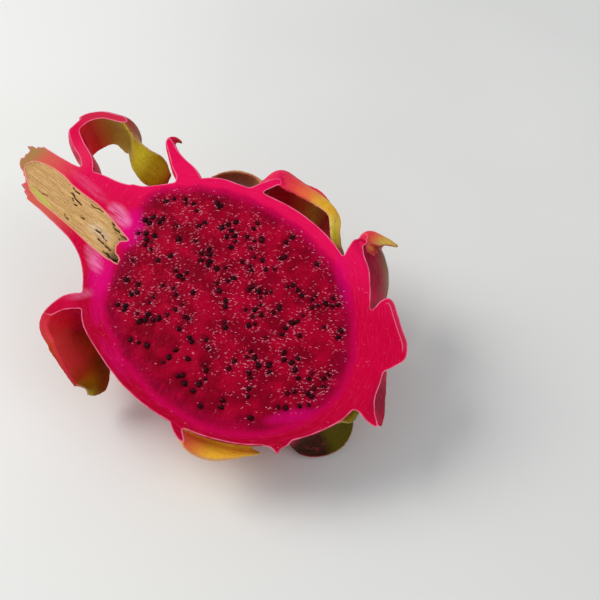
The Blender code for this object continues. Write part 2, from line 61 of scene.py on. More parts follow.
LOG = logging.getLogger("dragon_fruit")

Array = np.ndarray
Item = bpy.types.Object
Mesh = bpy.types.Mesh
Material = bpy.types.Material
Nodes = bpy.types.NodeTree
Rows = Sequence[Sequence[float]]
Pair = tuple[float, float]
Triple = tuple[float, float, float]
Colour = Triple


class Wave(Enum):
    """How the margin of a scale runs."""

    PLAIN = 0.0
    GENTLE = 0.45


class Face(Enum):
    """Kinds of surface on the rind, in the order of its materials."""

    SKIN = 0
    CUT = 1


def srgb(red: int, green: int, blue: int) -> Colour:
    """Linear colour of an 8-bit display colour.

    Args:
        red: Red, from 0 to 255.
        green: Green.
        blue: Blue.

    Returns:
        The colour.
    """
    values = []
    for level in (red, green, blue):
        part = level / 255
        values.append(part / 12.92 if part <= 0.04045 else ((part + 0.055) / 1.055) ** 2.4)
    return values[0], values[1], values[2]


class Hue(Enum):
    """Colours that the scales take on."""

    PINK = srgb(228, 8, 78)
    CRIMSON = srgb(206, 8, 56)
    SCARLET = srgb(232, 20, 44)
    RED = srgb(176, 8, 24)
    # dark red of a scale's inner face deep in a gap: painted shade over its red
    DARK_RED = srgb(124, 2, 8)
    BLOOD = srgb(204, 24, 6)
    PLUM = srgb(150, 5, 42)
    CORAL = srgb(238, 66, 64)
    DUSTY = srgb(184, 52, 58)
    RUST = srgb(194, 70, 22)
    ORANGE = srgb(244, 122, 64)
    AMBER = srgb(244, 184, 52)
    CREAM = srgb(208, 168, 74)
    STRAW = srgb(240, 216, 86)
    LIME = srgb(196, 178, 40)
    MOSS = srgb(154, 124, 8)
    OCHRE = srgb(184, 130, 12)
    OLIVE = srgb(88, 76, 6)
    BROWN = srgb(136, 70, 10)
    BARK = srgb(138, 96, 54)
    # near-black brown of the lower leaf's root half: a painted cast shadow
    UMBER = srgb(50, 24, 2)


def by_speed(full: float = 1.0) -> float:
    return full


def smooth_rows(rows: Array, places: Array) -> Array:
    """Read a table smoothly at places from 0 to 1.

    Args:
        rows: The table, one station a row.
        places: Where to read it, 0 at its first row and 1 at its last.

    Returns:
        One row for each place.
    """
    span = places * (len(rows) - 1)
    first = np.minimum(span.astype(int), len(rows) - 2)
    t = (span - first)[:, None]
    a, b, c, d = (rows[np.clip(first + k, 0, len(rows) - 1)] for k in (-1, 0, 1, 2))
    return b + 0.5 * t * (c - a + t * (2 * a - 5 * b + 4 * c - d + t * (3 * (b - c) + d - a)))


def smooth_step(low: float, high: float, value: Array) -> Array:
    """Rise smoothly from 0 at low to 1 at high."""
    t = np.clip((value - low) / (high - low), 0, 1)
    return t * t * (3 - 2 * t)


def unit(vectors: Array) -> Array:
    """Scale vectors to length 1."""
    return vectors / np.maximum(np.linalg.norm(vectors, axis=-1, keepdims=True), 1e-9)


def line_distance(points: Array, outline: Array, closed: bool = True) -> Array:
    """Distance of points to a line on the cut face.

    Args:
        points: Points, of which X and Y count.
        outline: Corners of the line.
        closed: Whether its last corner joins its first.

    Returns:
        One distance for each point.
    """
    ends = np.roll(outline, -1, axis=0) if closed else outline[1:]
    starts = outline if closed else outline[:-1]
    best = np.full(len(points), 1e9)
    flat = points[:, :2]
    for a, b in zip(starts[:, :2], ends[:, :2]):
        way = b - a
        t = np.clip(((flat - a) @ way) / max(way @ way, 1e-9), 0, 1)
        best = np.minimum(best, np.linalg.norm(flat - a - t[:, None] * way, axis=1))
    return best


def inside_outline(points: Array, outline: Array) -> Array:
    """Whether points lie inside a closed line on the cut face.

    Args:
        points: Points, of which X and Y count.
        outline: Corners of the line.

    Returns:
        True or false for each point.
    """
    x, y = points[:, 0], points[:, 1]
    inside = np.zeros(len(points), bool)
    for (ax, ay), (bx, by) in zip(outline[:, :2], np.roll(outline, -1, axis=0)[:, :2]):
        if ay == by:
            continue
        crosses = (ay > y) != (by > y)
        inside ^= crosses & (x < (bx - ax) * (y - ay) / (by - ay) + ax)
    return inside


@contextmanager
def editing(mesh: Mesh) -> Iterator[bmesh.types.BMesh]:
    """Open a mesh for editing and write it back."""
    bm = bmesh.new()
    bm.from_mesh(mesh)
    yield bm
    bm.to_mesh(mesh)
    bm.free()


def new_mesh(name: str, points: Array, faces: Iterable[Sequence[int]]) -> Mesh:
    """Make a mesh of points and faces, with its faces pointing outwards.

    Args:
        name: Name of the mesh.
        points: Points, one a row.
        faces: Point numbers of each face.

    Returns:
        The mesh.
    """
    mesh = bpy.data.meshes.new(name)
    mesh.from_pydata([tuple(p) for p in points], [], [tuple(f) for f in faces])
    with editing(mesh) as bm:
        bmesh.ops.recalc_face_normals(bm, faces=bm.faces)
    return mesh


def new_object(data: bpy.types.ID) -> Item:
    """Make an object of a mesh, curve, lamp or camera in the scene."""
    item = bpy.data.objects.new(data.name, data)
    bpy.context.scene.collection.objects.link(item)
    return item


def loft(rings: Array, offset: int = 0) -> tuple[Array, list[tuple[int, ...]]]:
    """Points and faces of a closed solid through rings of equal size.

    Args:
        rings: Points of each ring, ring by ring.
        offset: Number of the first point.

    Returns:
        The points, and the faces by point number.
    """
    count, size = rings.shape[:2]
    faces: list[tuple[int, ...]] = []
    for i in range(count - 1):
        for k in range(size):
            m = (k + 1) % size
            low, high = offset + i * size, offset + (i + 1) * size
            faces.append((low + k, low + m, high + m, high + k))
    faces.append(tuple(offset + k for k in range(size)))
    faces.append(tuple(offset + (count - 1) * size + k for k in range(size))[::-1])
    return rings.reshape(-1, 3), faces


def evaluated(item: Item) -> Mesh:
    """Plain mesh that an object shows."""
    bpy.context.view_layer.update()
    graph = bpy.context.evaluated_depsgraph_get()
    return bpy.data.meshes.new_from_object(item.evaluated_get(graph))


def applied(item: Item) -> Item:
    """Turn an object's modifiers into its plain mesh."""
    mesh = evaluated(item)
    item.modifiers.clear()
    item.data = mesh
    return item


def modify(item: Item, kind: str, **settings: Any) -> None:
    """Add a modifier and keep the mesh that it makes."""
    made = item.modifiers.new(kind, kind)
    for key, setting in settings.items():
        setattr(made, key, setting)
    applied(item)


def boolean(item: Item, other: Item, operation: str = "DIFFERENCE") -> None:
    """Cut an object with another, or keep what they share, and drop the other."""
    modify(item, "BOOLEAN", operation=operation, object=other, solver="MANIFOLD")
    bpy.data.objects.remove(other)


def coordinates(mesh: Mesh) -> Array:
    """Points of a mesh, one a row."""
    flat = np.empty(len(mesh.vertices) * 3)
    mesh.vertices.foreach_get("co", flat)
    return flat.reshape(-1, 3)


def move_points(mesh: Mesh, points: Array) -> None:
    """Put a mesh's points in new places."""
    mesh.vertices.foreach_set("co", points.astype(np.float32).ravel())
    mesh.update()


def point_normals(mesh: Mesh) -> Array:
    """Normals of a mesh at its points."""
    flat = np.empty(len(mesh.vertices) * 3, np.float32)
    mesh.vertex_normals.foreach_get("vector", flat)
    return flat.reshape(-1, 3).astype(float)


def paint(mesh: Mesh, name: str, values: Array) -> None:
    """Store a number or a vector for each point of a mesh."""
    kind, key = ("FLOAT_VECTOR", "vector") if values.ndim == 2 else ("FLOAT", "value")
    layer = mesh.attributes.new(name, kind, "POINT")
    layer.data.foreach_set(key, values.astype(np.float32).ravel())


def nearest(cloud: Array, points: Array) -> tuple[Array, Array]:
    """Number and distance of the place in a cloud that is nearest to each point.

    Args:
        cloud: Places to look among.
        points: Points to look from.

    Returns:
        The numbers and the distances.
    """
    tree = KDTree(len(cloud))
    for i, place in enumerate(cloud):
        tree.insert(place, i)
    tree.balance()
    found = [tree.find(point) for point in points]
    return np.array([f[1] for f in found]), np.array([f[2] for f in found])


def level(points: Array) -> Array:
    """Points brought down to the cut face."""
    return np.column_stack([points[:, :2], np.zeros(len(points))])


def rough(points: Array, size: Sequence[float], seed: float = 0.0) -> Array:
    """Smooth random heights from -1 to 1 at points.

    Args:
        points: Places to read.
        size: Size of the lumps along each axis.
        seed: Shift that gives another pattern.

    Returns:
        One height for each point.
    """
    scaled = points / np.asarray(size) + seed
    return np.array([noise.noise(Vector(p)) for p in scaled])


@dataclass(frozen=True)
class Lie:
    """How the half lies: its tilt and the place of the middle of its cut face."""

    roll: float = math.radians(15.94)
    pitch: float = math.radians(12.24)
    middle: Triple = (-0.0008488, -0.0013007, 0.0422556)

    def matrix(self) -> Matrix:
        """Placing of the fruit's own axes, in millimetres, in the frame's metres."""
        turn = Matrix.Rotation(self.pitch, 4, "Y") @ Matrix.Rotation(self.roll, 4, "X")
        return Matrix.Translation(self.middle) @ turn @ Matrix.Scale(MM, 4)

    def settle(self, item: Item) -> None:
        """Move a finished mesh from the fruit's axes to the frame, pressed flat at the floor."""
        item.data.transform(self.matrix())
        points = coordinates(item.data)
        points[:, 2] = np.maximum(points[:, 2], 0.0)
        move_points(item.data, points)


LIE = Lie()


@dataclass(frozen=True)
class Turned:
    """Body turned about the fruit's axis and grown off centre: distance, radius and shift."""

    rows: Rows
    swell: float = 0.45
    swell_along: float = 0.085
    swell_around: int = 3
    swell_sway: float = 1.3
    swell_twist: float = 0.05
    swell_from: float = 20.0

    def dense(self) -> Array:
        """The table read at many places."""
        return smooth_rows(np.array(self.rows, float), np.linspace(0, 1, 1200))

    def radius(self, x: Array) -> Array:
        """Radius at distances along the axis."""
        table = self.dense()
        return np.maximum(np.interp(x, table[:, 0], table[:, 1]), 0.0)

    def shift(self, x: Array) -> Array:
        """Sideways shift at distances along the axis."""
        table = self.dense()
        return np.interp(x, table[:, 0], table[:, 2])

    def reach(self, x: Array, angle: Array) -> Array:
        """Radius with the slight lumps of growth, at an angle round the axis.

        Args:
            x: Distances along the axis.
            angle: Angles round it, from the cut face.

        Returns:
            The radii.
        """
        radius = self.radius(x)
        wave = np.sin(self.swell_along * x + self.swell_sway * np.sin(angle))
        lump = self.swell * wave * np.cos(self.swell_around * angle + self.swell_twist * x)
        return radius + lump * np.minimum(1.0, radius / self.swell_from)

    def point(self, x: float, angle: float, height: float = 0.0) -> Array:
        """Point above the surface at a distance along the axis and an angle from the cut face."""
        place = np.array([x])
        reach = self.reach(place, np.array([angle]))[0] + height
        shift = self.shift(place)[0]
        return np.array([x, shift + reach * math.cos(angle), reach * math.sin(angle)])

    def rings(self, stations: int, sides: int) -> Array:
        """Rings of points from end to end.

        Args:
            stations: How many steps there are along it.
            sides: Points of a ring.

        Returns:
            The points, by ring.
        """
        places = (1 - np.cos(np.linspace(0, math.pi, stations + 1))) / 2
        table = smooth_rows(np.array(self.rows, float), places)
        angle = np.linspace(0, 2 * math.pi, sides, endpoint=False)
        x = np.repeat(table[:, 0][:, None], sides, axis=1)
        around = np.repeat(angle[None, :], len(places), axis=0)
        reach = np.maximum(self.reach(x.ravel(), around.ravel()).reshape(x.shape), 0.02)
        y = table[:, 2][:, None] + reach * np.cos(around)
        return np.stack([x, y, reach * np.sin(around)], axis=-1)

    def outline(self, count: int = 160) -> Array:
        """Line round the body on the cut face.

        Args:
            count: How many steps there are along it.

        Returns:
            Points of the line.
        """
        table = smooth_rows(np.array(self.rows, float), np.linspace(0, 1, count))
        sides = []
        for angle, order in ((0.0, slice(None)), (math.pi, slice(None, None, -1))):
            x = table[order, 0]
            reach = self.reach(x, np.full(len(x), angle))
            y = self.shift(x) + reach * math.cos(angle)
            sides.append(np.stack([x, y], axis=1))
        return np.concatenate(sides)


SKIN = Turned(
    (
        (-108, 9.4, -2.6), (-96, 9.9, -2.5), (-84, 10.8, -2.0), (-74, 12.8, -0.6), (-65, 14.5, 0.2),
        (-58, 17.8, 1.2), (-52, 23.0, 2.2), (-46, 29.6, 2.3), (-39, 36.4, 1.7), (-29, 40.0, 1.6),
        (-17, 43.0, 1.8), (-5, 44.2, 1.8), (7, 43.2, 1.5), (18, 39.9, 1.1), (28, 35.0, 0.8),
        (37, 28.4, 0.4), (44, 20.6, 0.0), (49.5, 12.2, 0.0), (52.4, 5.6, 0.0), (53.2, 0.0, 0.0),
    ),
)
PULP = Turned(
    (
        (-54.2, 0.0, 16.6), (-53.4, 4.0, 16.2), (-51.5, 7.6, 15.0), (-48.8, 11.4, 13.4),
        (-45.8, 17.2, 10.8), (-42.5, 23.8, 7.2), (-38.5, 28.6, 4.8), (-32, 32.6, 3.8), (-23, 36.0, 3.2),
        (-12, 38.2, 2.7), (0, 39.0, 1.8), (12, 37.3, 1.0), (22, 33.7, 0.6), (31, 27.2, 0.0),
        (38, 19.4, -0.5), (42.8, 11.0, -0.2), (44.9, 4.6, 0.0), (45.4, 0.0, 0.0),
    ),
)


@dataclass(frozen=True)
class Tint:
    """Colours along one side of a scale, from its root to its tip.

    The second row is for the margin that lies away from the cut, where that has other colours.
    """

    hues: tuple[Hue, ...]
    back: tuple[Hue, ...] = ()

    def read(self, t: Array, s: Array) -> Array:
        """Colours at places along and across.

        Args:
            t: Places along, 0 at the root and 1 at the tip.
            s: Places across, from -1 to 1.

        Returns:
            One colour for each place.
        """
        colours = self.along(self.hues, t)
        if self.back:
            part = smooth_step(0.25, -0.6, s)[:, None]
            colours = colours * (1 - part) + self.along(self.back, t) * part
        return colours

    def along(self, hues: tuple[Hue, ...], t: Array) -> Array:
        """Colours of one row at places along."""
        table = np.array([hue.value for hue in hues])
        places = np.linspace(0, 1, len(hues))
        return np.stack([np.interp(t, places, table[:, k]) for k in range(3)], axis=1)


def tint(hues: str, back: str = "") -> Tint:
    """Tint of hues by their names, root first, with those of the far margin."""
    return Tint(*(tuple(Hue[name] for name in row.split()) for row in (hues, back)))


RIPE_OUTSIDE = tint("PINK CRIMSON CORAL LIME MOSS")
RIPE_INSIDE = tint("RED CRIMSON RUST LIME OLIVE")


@dataclass
class Scale:
    """Fleshy scale of the rind, lofted through stations.

    Each station gives the centre, half the width, the roll about the scale's own length, the bend of
    the width and the thickness. The outside is the side that the width bends away from.
    """

    name: str
    stations: Rows
    outside: Tint = RIPE_OUTSIDE
    inside: Tint = RIPE_INSIDE
    wave: Wave = Wave.GENTLE
    steps: int = 64
    across: int = 13
    edge: float = 0.95
    edge_share: float = 0.5
    least_half: float = 0.55
    seed: float = 0.0

    def table(self) -> Array:
        """The stations read at the scale's steps."""
        rows = smooth_rows(np.array(self.stations, float), np.linspace(0, 1, self.steps))
        rows[:, 3] = np.maximum(rows[:, 3], self.least_half)
        rows[:, 6] = np.maximum(rows[:, 6], self.edge)
        return rows

    def margin(self, thick: Array) -> Array:
        """Thickness of the scale along its margin."""
        return np.maximum(self.edge, self.edge_share * thick)

    def axes(self, rows: Array) -> tuple[Array, Array, Array]:
        """Directions along, across and out of the scale at each step.

        Args:
            rows: The stations at the scale's steps.

        Returns:
            The three directions, step by step.
        """
        along = unit(np.gradient(rows[:, :3], axis=0))
        up = np.array([0.0, 0.0, 1.0])
        side = unit(up - along * (along @ up)[:, None])
        out = np.cross(side, along)
        roll = np.radians(rows[:, 4])[:, None]
        turned_out = np.cos(roll) * out - np.sin(roll) * side
        turned_side = np.cos(roll) * side + np.sin(roll) * out
        return along, turned_side, turned_out

    def middle(self) -> tuple[Array, Array, Array, Array]:
        """Middle surface of the scale.

        Returns:
            Its points, their normals and the half thickness there, all by step and place across,
            and the places across from -1 to 1.
        """
        rows = self.table()
        _, side, out = self.axes(rows)
        s = np.linspace(-1, 1, self.across)
        half, thick = rows[:, 3][:, None], rows[:, 6][:, None]
        arc = np.radians(rows[:, 5])[:, None] / 2
        arc = np.where(np.abs(arc) < 0.01, 0.01, arc)
        reach = np.sin(s * arc) / arc * half
        drop = (np.cos(s * arc) - 1) / arc * half
        t = np.linspace(0, 1, self.steps)[:, None]
        run = np.linalg.norm(np.gradient(rows[:, :3], axis=0), axis=1).cumsum()[:, None]
        sway = np.sin(run / 5.2 + self.seed + 1.1 * s) + 0.5 * np.sin(run / 2.9 + 2 * self.seed)
        drop = drop + self.wave.value * sway * s * s * smooth_step(0.15, 0.5, t) * np.minimum(half / 6, 1)
        points = rows[:, None, :3] + side[:, None] * reach[..., None] + out[:, None] * drop[..., None]
        normals = out[:, None] * np.cos(s * arc)[..., None] + side[:, None] * np.sin(s * arc)[..., None]
        edge = self.margin(thick)
        deep = (edge + (thick - edge) * (1 - s * s)) / 2
        return points, normals, deep, s

    def rings(self) -> Array:
        """Rings of points round the scale."""
        points, normals, deep, _ = self.middle()
        upper = points + normals * deep[..., None]
        lower = points - normals * deep[..., None]
        return np.concatenate([upper, lower[:, ::-1]], axis=1)


CUT_SCALES = (
    Scale(
        "stalk_curl",
        (
            (-76.4, 5.8, -7.0, 8.0, 0, 0, 7.6), (-83.2, 12.8, -7.5, 9.0, 0, 20, 6.4),
            (-90.8, 15.6, -8.0, 10.0, 0, 30, 6.2), (-97.0, 19.4, -8.6, 10.8, 0, 40, 5.8),
            (-97.4, 26.6, -9.2, 11.2, 0, 50, 5.6), (-92.4, 33.4, -9.8, 11.0, 0, 55, 5.2),
            (-84.4, 35.7, -10.2, 10.9, 12, 70, 4.8), (-80.1, 34.5, -10.1, 9.0, 11, 80, 4.4),
            (-77.1, 31.1, -10.1, 6.0, 24, 30, 3.0), (-72.3, 28.8, -9.6, 5.6, 52, -10, 2.2),
            (-66.8, 28.2, -9.6, 6.5, 68, -25, 1.8), (-61.8, 28.4, -10.2, 5.6, 70, -25, 1.6),
            (-58.1, 29.4, -10.9, 2.2, 59, -10, 1.2),
        ),
        tint("PINK PINK CRIMSON DUSTY DUSTY BARK LIME MOSS BROWN"),
        tint("PINK PINK CRIMSON SCARLET BLOOD OCHRE LIME LIME LIME LIME MOSS MOSS BROWN"),
        seed=0.4,
        steps=96,
    ),
    Scale(
        "shoulder_spike",
        (
            (-43.0, 26.0, -4.0, 9.0, 0, 0, 14.0), (-48.5, 31.5, -4.0, 8.0, 0, 0, 10.0),
            (-54.5, 33.6, -3.8, 6.5, 0, 0, 7.0), (-60.0, 36.2, -3.5, 5.0, 0, 0, 4.8),
            (-64.2, 39.0, -3.0, 3.6, 0, 0, 3.4), (-63.8, 41.4, -2.6, 1.6, 0, 0, 1.8),
            (-60.6, 42.0, -2.4, 0.6, 0, 0, 1.0),
        ),
        tint("PINK PINK PINK PINK CRIMSON BROWN"),
        tint("PINK PINK PINK PINK CRIMSON BROWN"),
        wave=Wave.PLAIN,
    ),
    Scale(
        "rim_blade",
        (
            (-27.0, 35.0, -8.0, 10.0, 0, 0, 7.6), (-25.6, 44.0, -7.6, 10.0, -8, 10, 5.4),
            (-24.1, 55.5, -5.9, 8.8, -37, 60, 3.6), (-17.1, 57.0, -5.9, 9.0, -37, 70, 3.0),
            (-11.0, 57.3, -5.8, 7.7, -34, 80, 2.6), (-5.7, 57.7, -5.9, 6.4, -31, 80, 2.2),
            (-0.3, 57.2, -5.8, 5.5, -32, 80, 1.9), (4.6, 55.0, -5.7, 4.6, -33, 80, 1.7),
            (7.6, 51.2, -5.9, 4.0, -33, 70, 1.5), (11.0, 46.8, -5.2, 2.9, -41, 60, 1.4),
            (14.6, 43.9, -3.6, 2.0, -39, 40, 1.3), (17.6, 41.3, -1.2, 0.9, -49, 10, 1.0),
        ),
        tint("PINK PINK PINK CORAL ORANGE AMBER AMBER STRAW LIME BROWN BROWN"),
        # the dark red at the root of the inner face is painted shade in the gap under the blade
        tint("DARK_RED DARK_RED DARK_RED RUST LIME LIME"),
        seed=1.7,
        steps=80,
    ),
    Scale(
        "beak",
        (
            (34.6, 30.2, -9.0, 12.0, 14, 0, 12.0), (29.6, 42.4, -9.0, 12.6, 28, -10, 9.6),
            (24.2, 50.2, -8.8, 13.2, 34, -20, 7.4), (19.9, 54.9, -8.0, 11.4, 26, -5, 5.6),
            (19.8, 57.2, -6.4, 8.6, -10, 50, 4.2), (24.4, 58.0, -4.6, 5.0, -35, 70, 2.6),
            (29.8, 58.2, -2.6, 0.9, -35, 20, 1.0),
        ),
        tint("PINK PINK PINK PINK PINK CORAL CREAM CREAM"),
        tint("PLUM PLUM PLUM PLUM CORAL CREAM", "PLUM BARK OLIVE OLIVE BROWN"),
        seed=2.9,
    ),
    Scale(
        "left_palm",
        (
            (-37.0, -22.0, -11.0, 14.0, 0, 0, 10.0), (-44.6, -27.4, -12.0, 14.0, 0, -20, 9.6),
            (-50.2, -32.0, -12.2, 14.0, 0, -30, 8.6), (-49.6, -39.4, -13.0, 12.8, -19, -40, 6.5),
            (-45.4, -42.2, -15.0, 13.0, -28, -50, 5.0), (-40.5, -44.0, -17.4, 12.2, -35, -50, 3.6),
            (-35.8, -45.6, -19.8, 10.9, -40, -50, 2.8), (-31.8, -47.2, -22.2, 9.4, -41, -50, 2.2),
            (-28.8, -49.3, -23.4, 6.4, -25, -40, 1.6), (-28.0, -52.2, -24.0, 2.2, 0, -20, 1.1),
        ),
        tint(
            "CRIMSON CRIMSON CRIMSON SCARLET CORAL CORAL CORAL RUST OCHRE MOSS LIME",
            # far margin turns brown towards the tip: partly its own colour, partly painted shade under the
            # peel's edge
            "CRIMSON CRIMSON CRIMSON CRIMSON RED RUST RUST BROWN BROWN BROWN MOSS",
        ),
        tint("PINK PINK CRIMSON RUST RUST BROWN BROWN MOSS"),
        seed=4.1,
        steps=88,
    ),
    Scale(
        "lower_shelf",
        (
            (5.0, -33.4, -7.0, 8.5, 0, 0, 9.0), (10.4, -39.6, -7.2, 8.6, -10, 0, 5.4),
            (16.4, -40.2, -7.8, 8.2, -30, 10, 3.2), (23.0, -38.6, -7.6, 6.4, -40, 20, 2.2),
            (28.8, -35.6, -7.2, 4.4, -45, 20, 1.7), (33.6, -32.6, -6.4, 2.4, -45, 20, 1.3),
            (37.4, -30.4, -5.4, 0.9, -40, 0, 0.9),
        ),
        tint("CRIMSON CRIMSON ORANGE AMBER AMBER AMBER CREAM"),
        tint("RED AMBER AMBER AMBER CREAM"),
        seed=5.3,
    ),
    Scale(
        "lower_leaf",
        (
            (40.4, -17.8, -17.5, 9.2, 2, 20, 6.0), (43.8, -16.2, -17.6, 9.6, 19, 30, 4.0),
            (48.0, -12.8, -18.2, 9.6, 31, 40, 2.6), (50.9, -8.4, -17.2, 8.8, 36, 40, 2.0),
            (51.8, -4.0, -15.0, 6.6, 33, 30, 1.5), (51.2, -0.6, -12.6, 3.6, 21, 10, 1.0),
        ),
        # root half painted as the cast shadow that it lies in, the rest its own olive
        tint("UMBER UMBER UMBER UMBER UMBER OLIVE OLIVE OLIVE OLIVE OLIVE"),
        tint("UMBER UMBER UMBER UMBER UMBER OLIVE OLIVE OLIVE OLIVE OLIVE"),
        seed=6.6,
    ),
    Scale(
        "navel_back",
        (
            (53.0, 17.6, -2.7, 3.5, -18, 0, 2.6), (55.0, 13.4, -3.3, 4.2, -23, -20, 2.4),
            (57.3, 8.8, -3.7, 4.7, -31, -20, 2.0), (60.1, 4.8, -3.3, 4.0, -34, -20, 1.6),
            (63.0, 1.3, -2.1, 2.0, -26, 0, 1.1),
        ),
        tint("CRIMSON PLUM PLUM CRIMSON"),
        tint("CRIMSON PLUM PLUM CRIMSON"),
        wave=Wave.PLAIN,
        steps=48,
    ),
    Scale(
        "rim_leaf",
        (
            (-29.0, 34.0, -19.5, 9.0, 8, 20, 7.0), (-24.0, 47.0, -18.5, 11.0, 18, 25, 3.6),
            (-16.0, 54.6, -18.5, 11.8, 20, 25, 2.4), (-7.0, 57.6, -18.2, 11.4, 20, 25, 2.0),
            (2.0, 55.8, -18.4, 9.6, 18, 25, 1.8), (8.6, 50.8, -18.6, 6.6, 12, 25, 1.4),
            (13.0, 46.4, -18.8, 1.8, 8, 10, 0.9),
        ),
        tint("RED RED CORAL LIME MOSS"),
        tint("SCARLET SCARLET SCARLET SCARLET ORANGE STRAW RUST SCARLET RED MOSS MOSS"),
        seed=7.4,
    ),
    Scale(
        "shoulder_leaf",
        (
            (-18.0, 32.0, -14.0, 7.0, 0, 20, 7.0), (-22.0, 42.0, -14.0, 7.4, 0, 30, 4.0),
            (-29.0, 48.6, -13.6, 7.4, 0, 40, 2.2), (-36.6, 48.0, -13.0, 6.0, 0, 40, 1.7),
            (-42.0, 44.4, -12.4, 3.8, 0, 30, 1.3), (-46.0, 40.2, -12.0, 1.0, 0, 10, 0.9),
        ),
        tint("RED BARK BARK BARK BROWN"),
        tint("RED MOSS MOSS MOSS BROWN"),
        seed=8.2,
    ),
)


@dataclass(frozen=True)
class BackRow:
    """Rule for the scales on the hidden round side, which leave it towards the navel."""

    places: Rows = (
        (-62, -34, 26, 8.0, 58), (-66, -92, 24, 7.5, 46), (-60, -158, 24, 7.5, 50),
        (-40, -30, 33, 10.0, 50), (-34, -59, 33, 10.0, 44), (-36, -88, 34, 11.0, 38),
        (-38, -124, 34, 11.0, 36), (-12, -46, 32, 11.0, 42), (-8, -136, 32, 11.0, 40),
        (16, -28, 30, 10.0, 44), (18, -64, 29, 10.0, 40), (20, -110, 29, 10.0, 40),
        (16, -154, 17, 8.5, 34), (36, -44, 24, 8.0, 40), (38, -88, 24, 8.0, 36),
    )
    bend: float = 50.0
    steps: int = 6
    root: float = 2.5
    lean: float = math.radians(4)
    thick: float = 5.3
    thin: float = 1.1
    fullness: float = 2.2
    narrowing: float = 0.8
    thinning: float = 1.5
    tip_half: float = 0.7
    curl: float = 1.3

    def stations(self, x: float, degrees: float, length: float, half: float, spread: float) -> Rows:
        """Stations of one scale.

        Args:
            x: Place of its root along the fruit.
            degrees: Angle of its root behind the cut face.
            length: Length of the scale.
            half: Half its width.
            spread: How far its tip turns off the skin, in degrees.

        Returns:
            The stations, root first.
        """
        angle = math.radians(degrees)
        out = np.array([0.0, math.cos(angle), math.sin(angle)])
        point = SKIN.point(x, angle, -self.root)
        last = SKIN.rows[-2][0]
        rows = []
        for i in range(self.steps + 1):
            t = i / self.steps
            wide = half * (1 - t ** self.fullness) ** self.narrowing + self.tip_half
            thick = self.thin + (self.thick - self.thin) * (1 - t) ** self.thinning
            rows.append((*point, wide, -degrees, self.bend, thick))
            here = SKIN.point(float(point[0]), angle)
            ahead = SKIN.point(min(float(point[0]) + 1.0, last), angle)
            along = unit(ahead - here)
            away = unit(out - along * (out @ along))
            lift = self.lean + math.radians(spread) * t ** self.curl
            point = point + (along * math.cos(lift) + away * math.sin(lift)) * (length / self.steps)
        return rows

    def scales(self) -> list[Scale]:
        """All the scales of the round side."""
        return [
            Scale(f"back_{k}", self.stations(*row), steps=48, seed=1.3 * k)
            for k, row in enumerate(self.places)
        ]


@dataclass(frozen=True)
class Lobe:
    """Lobe at the navel that the cut runs along: its outline on the cut face and its depth."""

    name: str
    outline: Rows
    depth: float
    top: float = 2.0
    edge: float = 1.1
    taper: float = 7.0
    taper_power: float = 0.8
    join: float = 0.01
    voxel: float = 0.6

    def line(self, finer: int = 8) -> Array:
        """The outline as a smooth closed line."""
        rows = np.array(self.outline, float)
        rows = np.concatenate([rows[-1:], rows, rows[:2]])
        places = np.linspace(1, len(rows) - 2, (len(rows) - 3) * finer, endpoint=False)
        return smooth_rows(rows, places / (len(rows) - 1))

    def object(self) -> Item:
        """Solid of the lobe, thin at its margin and thick at its root.

        Returns:
            The solid.
        """
        line = self.line()
        curve = bpy.data.curves.new(self.name, "CURVE")
        curve.dimensions = "2D"
        curve.fill_mode = "BOTH"
        curve.extrude = self.depth / 2
        spline = curve.splines.new("POLY")
        spline.points.add(len(line) - 1)
        for point, (x, y) in zip(spline.points, line):
            point.co = (x, y, self.top - self.depth / 2, 1)
        spline.use_cyclic_u = True
        flat = new_object(curve)
        mesh = evaluated(flat)
        bpy.data.objects.remove(flat)
        points = coordinates(mesh)
        points[:, 2] += self.top - self.depth / 2 - points[:, 2].mean()
        move_points(mesh, points)
        with editing(mesh) as bm:
            bmesh.ops.remove_doubles(bm, verts=bm.verts, dist=self.join)
            bmesh.ops.recalc_face_normals(bm, faces=bm.faces)
        item = new_object(mesh)
        modify(item, "REMESH", mode="VOXEL", voxel_size=self.voxel)
        points = coordinates(item.data)
        near = line_distance(points, line)
        keep = self.edge / self.depth
        full = keep + (1 - keep) * np.clip(near / self.taper, 0, 1) ** self.taper_power
        below = points[:, 2] < 0
        points[below, 2] *= full[below]
        move_points(item.data, points)
        return item


LOBES = (
    Lobe(
        "navel_wing",
        (
            (34, 24), (37.3, 31.3), (37.6, 36.0), (39.4, 39.2), (42.4, 38.6), (46.0, 35.8), (50.6, 32.4),
            (54.6, 29.2), (56.8, 24.8), (55.6, 20.4), (53.6, 16.4), (50, 8), (42, 8),
        ),
        5.0,
    ),
    Lobe(
        "navel_fold",
        (
            (46, 12), (53.8, 13.0), (55.2, 7.2), (58.4, 3.2), (63.4, 0.0), (59.0, -0.6), (54.6, 0.2),
            (51.4, -1.6), (46, -6),
        ),
        5.5,
    ),
    Lobe(
        "rim_bump",
        (
            (17, 33), (17.6, 40.6), (16.8, 44.4), (18.3, 45.4), (21.5, 44.0), (24, 38), (20, 31),
        ),
        6.0,
    ),
    Lobe(
        "lower_point",
        (
            (32, -22), (36.5, -28.0), (39.2, -27.1), (41.0, -27.3), (42.9, -27.5), (42.4, -25.4),
            (43.6, -21.6), (40, -14),
        ),
        5.0,
    ),
)


